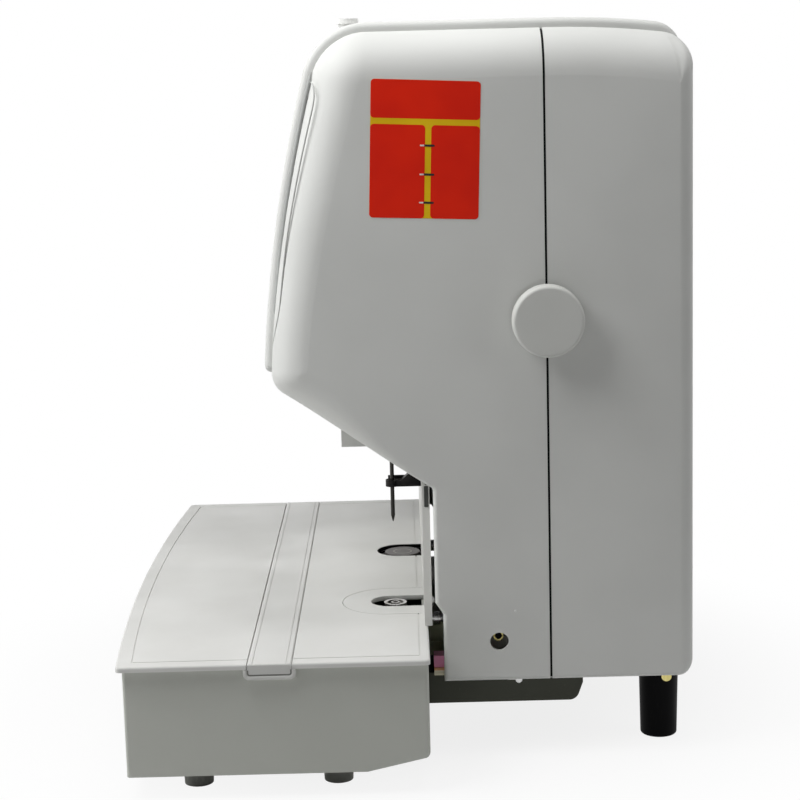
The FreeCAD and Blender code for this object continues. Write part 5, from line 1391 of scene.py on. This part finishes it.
def makeFittings():
    stop, socket, sunk = fittings["fenceEndPatch"], fittings["socket"], -fittings["sunk"]
    look = dict(footLook, colour=fittings["fenceColour"], second=fittings["fenceSecond"])
    darkFinish = plasticFinish("fenceEndDark", look)
    outline = roundedOutline(*stop["half"], stop["corner"]) + stop["centre"]
    for side, label in ((1.0, "right"), (-1.0, "left")):
        printPatch(f"fenceEndPatch_{label}", outline, sidePlace(fittings["fenceFace"], side), sunk, stop["thick"],
                   darkFinish)
        makeDome(f"panScrew_{label}", fittings["panScrew"], side, screwSteel)
    # black disc on the adjuster screw's end: painted shade of its socket's hollow
    printPatch("adjusterSocketShade", socket["radius"] * circle(48) + socket["centre"],
               sidePlace(fittings["socketFace"], 1.0), sunk, socket["thick"],
               bpy.data.materials["blackPlastic"])
    makeDome("sidePip", fittings["pip"], 1.0, bpy.data.materials["inletPlastic"])


makeFittings()
print("small fittings placed")


# floor, backdrop and lights
stage = {
    "floorColour": (0.86, 0.86, 0.86, 1.0),
    "floorSize": 12.0,
    "fadeFrom": 0.10,        # metres from the middle where the floor starts to fade to white
    "fadeTo": 0.36,
    "shadowShare": 0.17,     # how much of the floor's own shading shows near the object
    "ambient": 0.0,
    "white": (1.0, 1.0, 1.0, 1.0),
    "lampAim": (0.0, 0.0, 0.22),
}


# 1 for rays from the camera, off a mirror or through glass, and 0 for the rest
def seenDirectly(tree):
    path = addNode(tree, "LightPath").outputs
    return larger(tree, path["Is Camera Ray"],
                  larger(tree, path["Is Glossy Ray"], path["Is Transmission Ray"]))


# matt floor that fades to plain white away from the object, wherever it is seen directly
def makeFloor():
    half = stage["floorSize"] / 2
    corners = [(-half, -half, 0), (half, -half, 0), (half, half, 0), (-half, half, 0)]
    data = bpy.data.meshes.new("floor")
    data.from_pydata(corners, [], [(0, 1, 2, 3)])
    floor = bpy.data.objects.new("floor", data)
    bpy.context.scene.collection.objects.link(floor)
    material = bpy.data.materials.new("paleFloor")
    material.use_nodes = True
    tree = material.node_tree
    tree.nodes.clear()
    matt = addNode(tree, "BsdfDiffuse", (), Color=stage["floorColour"])
    white = addNode(tree, "Emission", (), Color=stage["white"], Strength=1.0)
    away = addNode(tree, "VectorMath", {"operation": "LENGTH"}, i0=objectPlace(tree)).outputs["Value"]
    near = ramp(tree, away, stage["fadeFrom"], stage["fadeTo"], stage["shadowShare"], 0.0)
    share = minus(tree, 1.0, times(tree, seenDirectly(tree), minus(tree, 1.0, near)))
    mixed = addNode(tree, "MixShader", (), i0=share, i1=white.outputs[0], i2=matt.outputs[0])
    out = tree.nodes.new("ShaderNodeOutputMaterial")
    tree.links.new(mixed.outputs[0], out.inputs["Surface"])
    data.materials.append(material)


# white where it is seen directly, and no light from it on the object
def makeWorld():
    world = bpy.data.worlds.new("studio")
    world.use_nodes = True
    bpy.context.scene.world = world
    tree = world.node_tree
    tree.nodes.clear()
    dark = addNode(tree, "Background", (), Color=stage["white"], Strength=stage["ambient"])
    white = addNode(tree, "Background", (), Color=stage["white"], Strength=1.0)
    mixed = addNode(tree, "MixShader", (), i0=seenDirectly(tree), i1=dark.outputs[0], i2=white.outputs[0])
    out = tree.nodes.new("ShaderNodeOutputWorld")
    tree.links.new(mixed.outputs[0], out.inputs["Surface"])


# soft square lamps, all aimed at one point
lights = {
    "keyFront": {"place": (0.30, -0.45, 0.85), "size": 0.5, "power": 5.5},
    "overhead": {"place": (0.12, 0.16, 0.98), "size": 0.5, "power": 2.1},
    "lowFront": {"place": (0.15, -0.95, 0.22), "size": 0.5, "power": 2.5},
    "rearSoft": {"place": (0.30, 1.15, 0.66), "size": 0.9, "power": 2.9},
    "leftFill": {"place": (-1.15, -0.35, 0.32), "size": 0.8, "power": 2.6},
}


def makeLights():
    for name, values in lights.items():
        data = bpy.data.lights.new(name, "AREA")
        data.shape = "SQUARE"
        data.size = values["size"]
        data.energy = values["power"]
        lamp = bpy.data.objects.new(name, data)
        place = Vector(values["place"])
        turn = (Vector(stage["lampAim"]) - place).to_track_quat("-Z", "Y").to_matrix().to_4x4()
        lamp.matrix_world = Matrix.Translation(place) @ turn
        bpy.context.scene.collection.objects.link(lamp)


makeFloor()
makeWorld()
makeLights()
bpy.context.scene.view_settings.view_transform = "Standard"
print("stage and lights set")
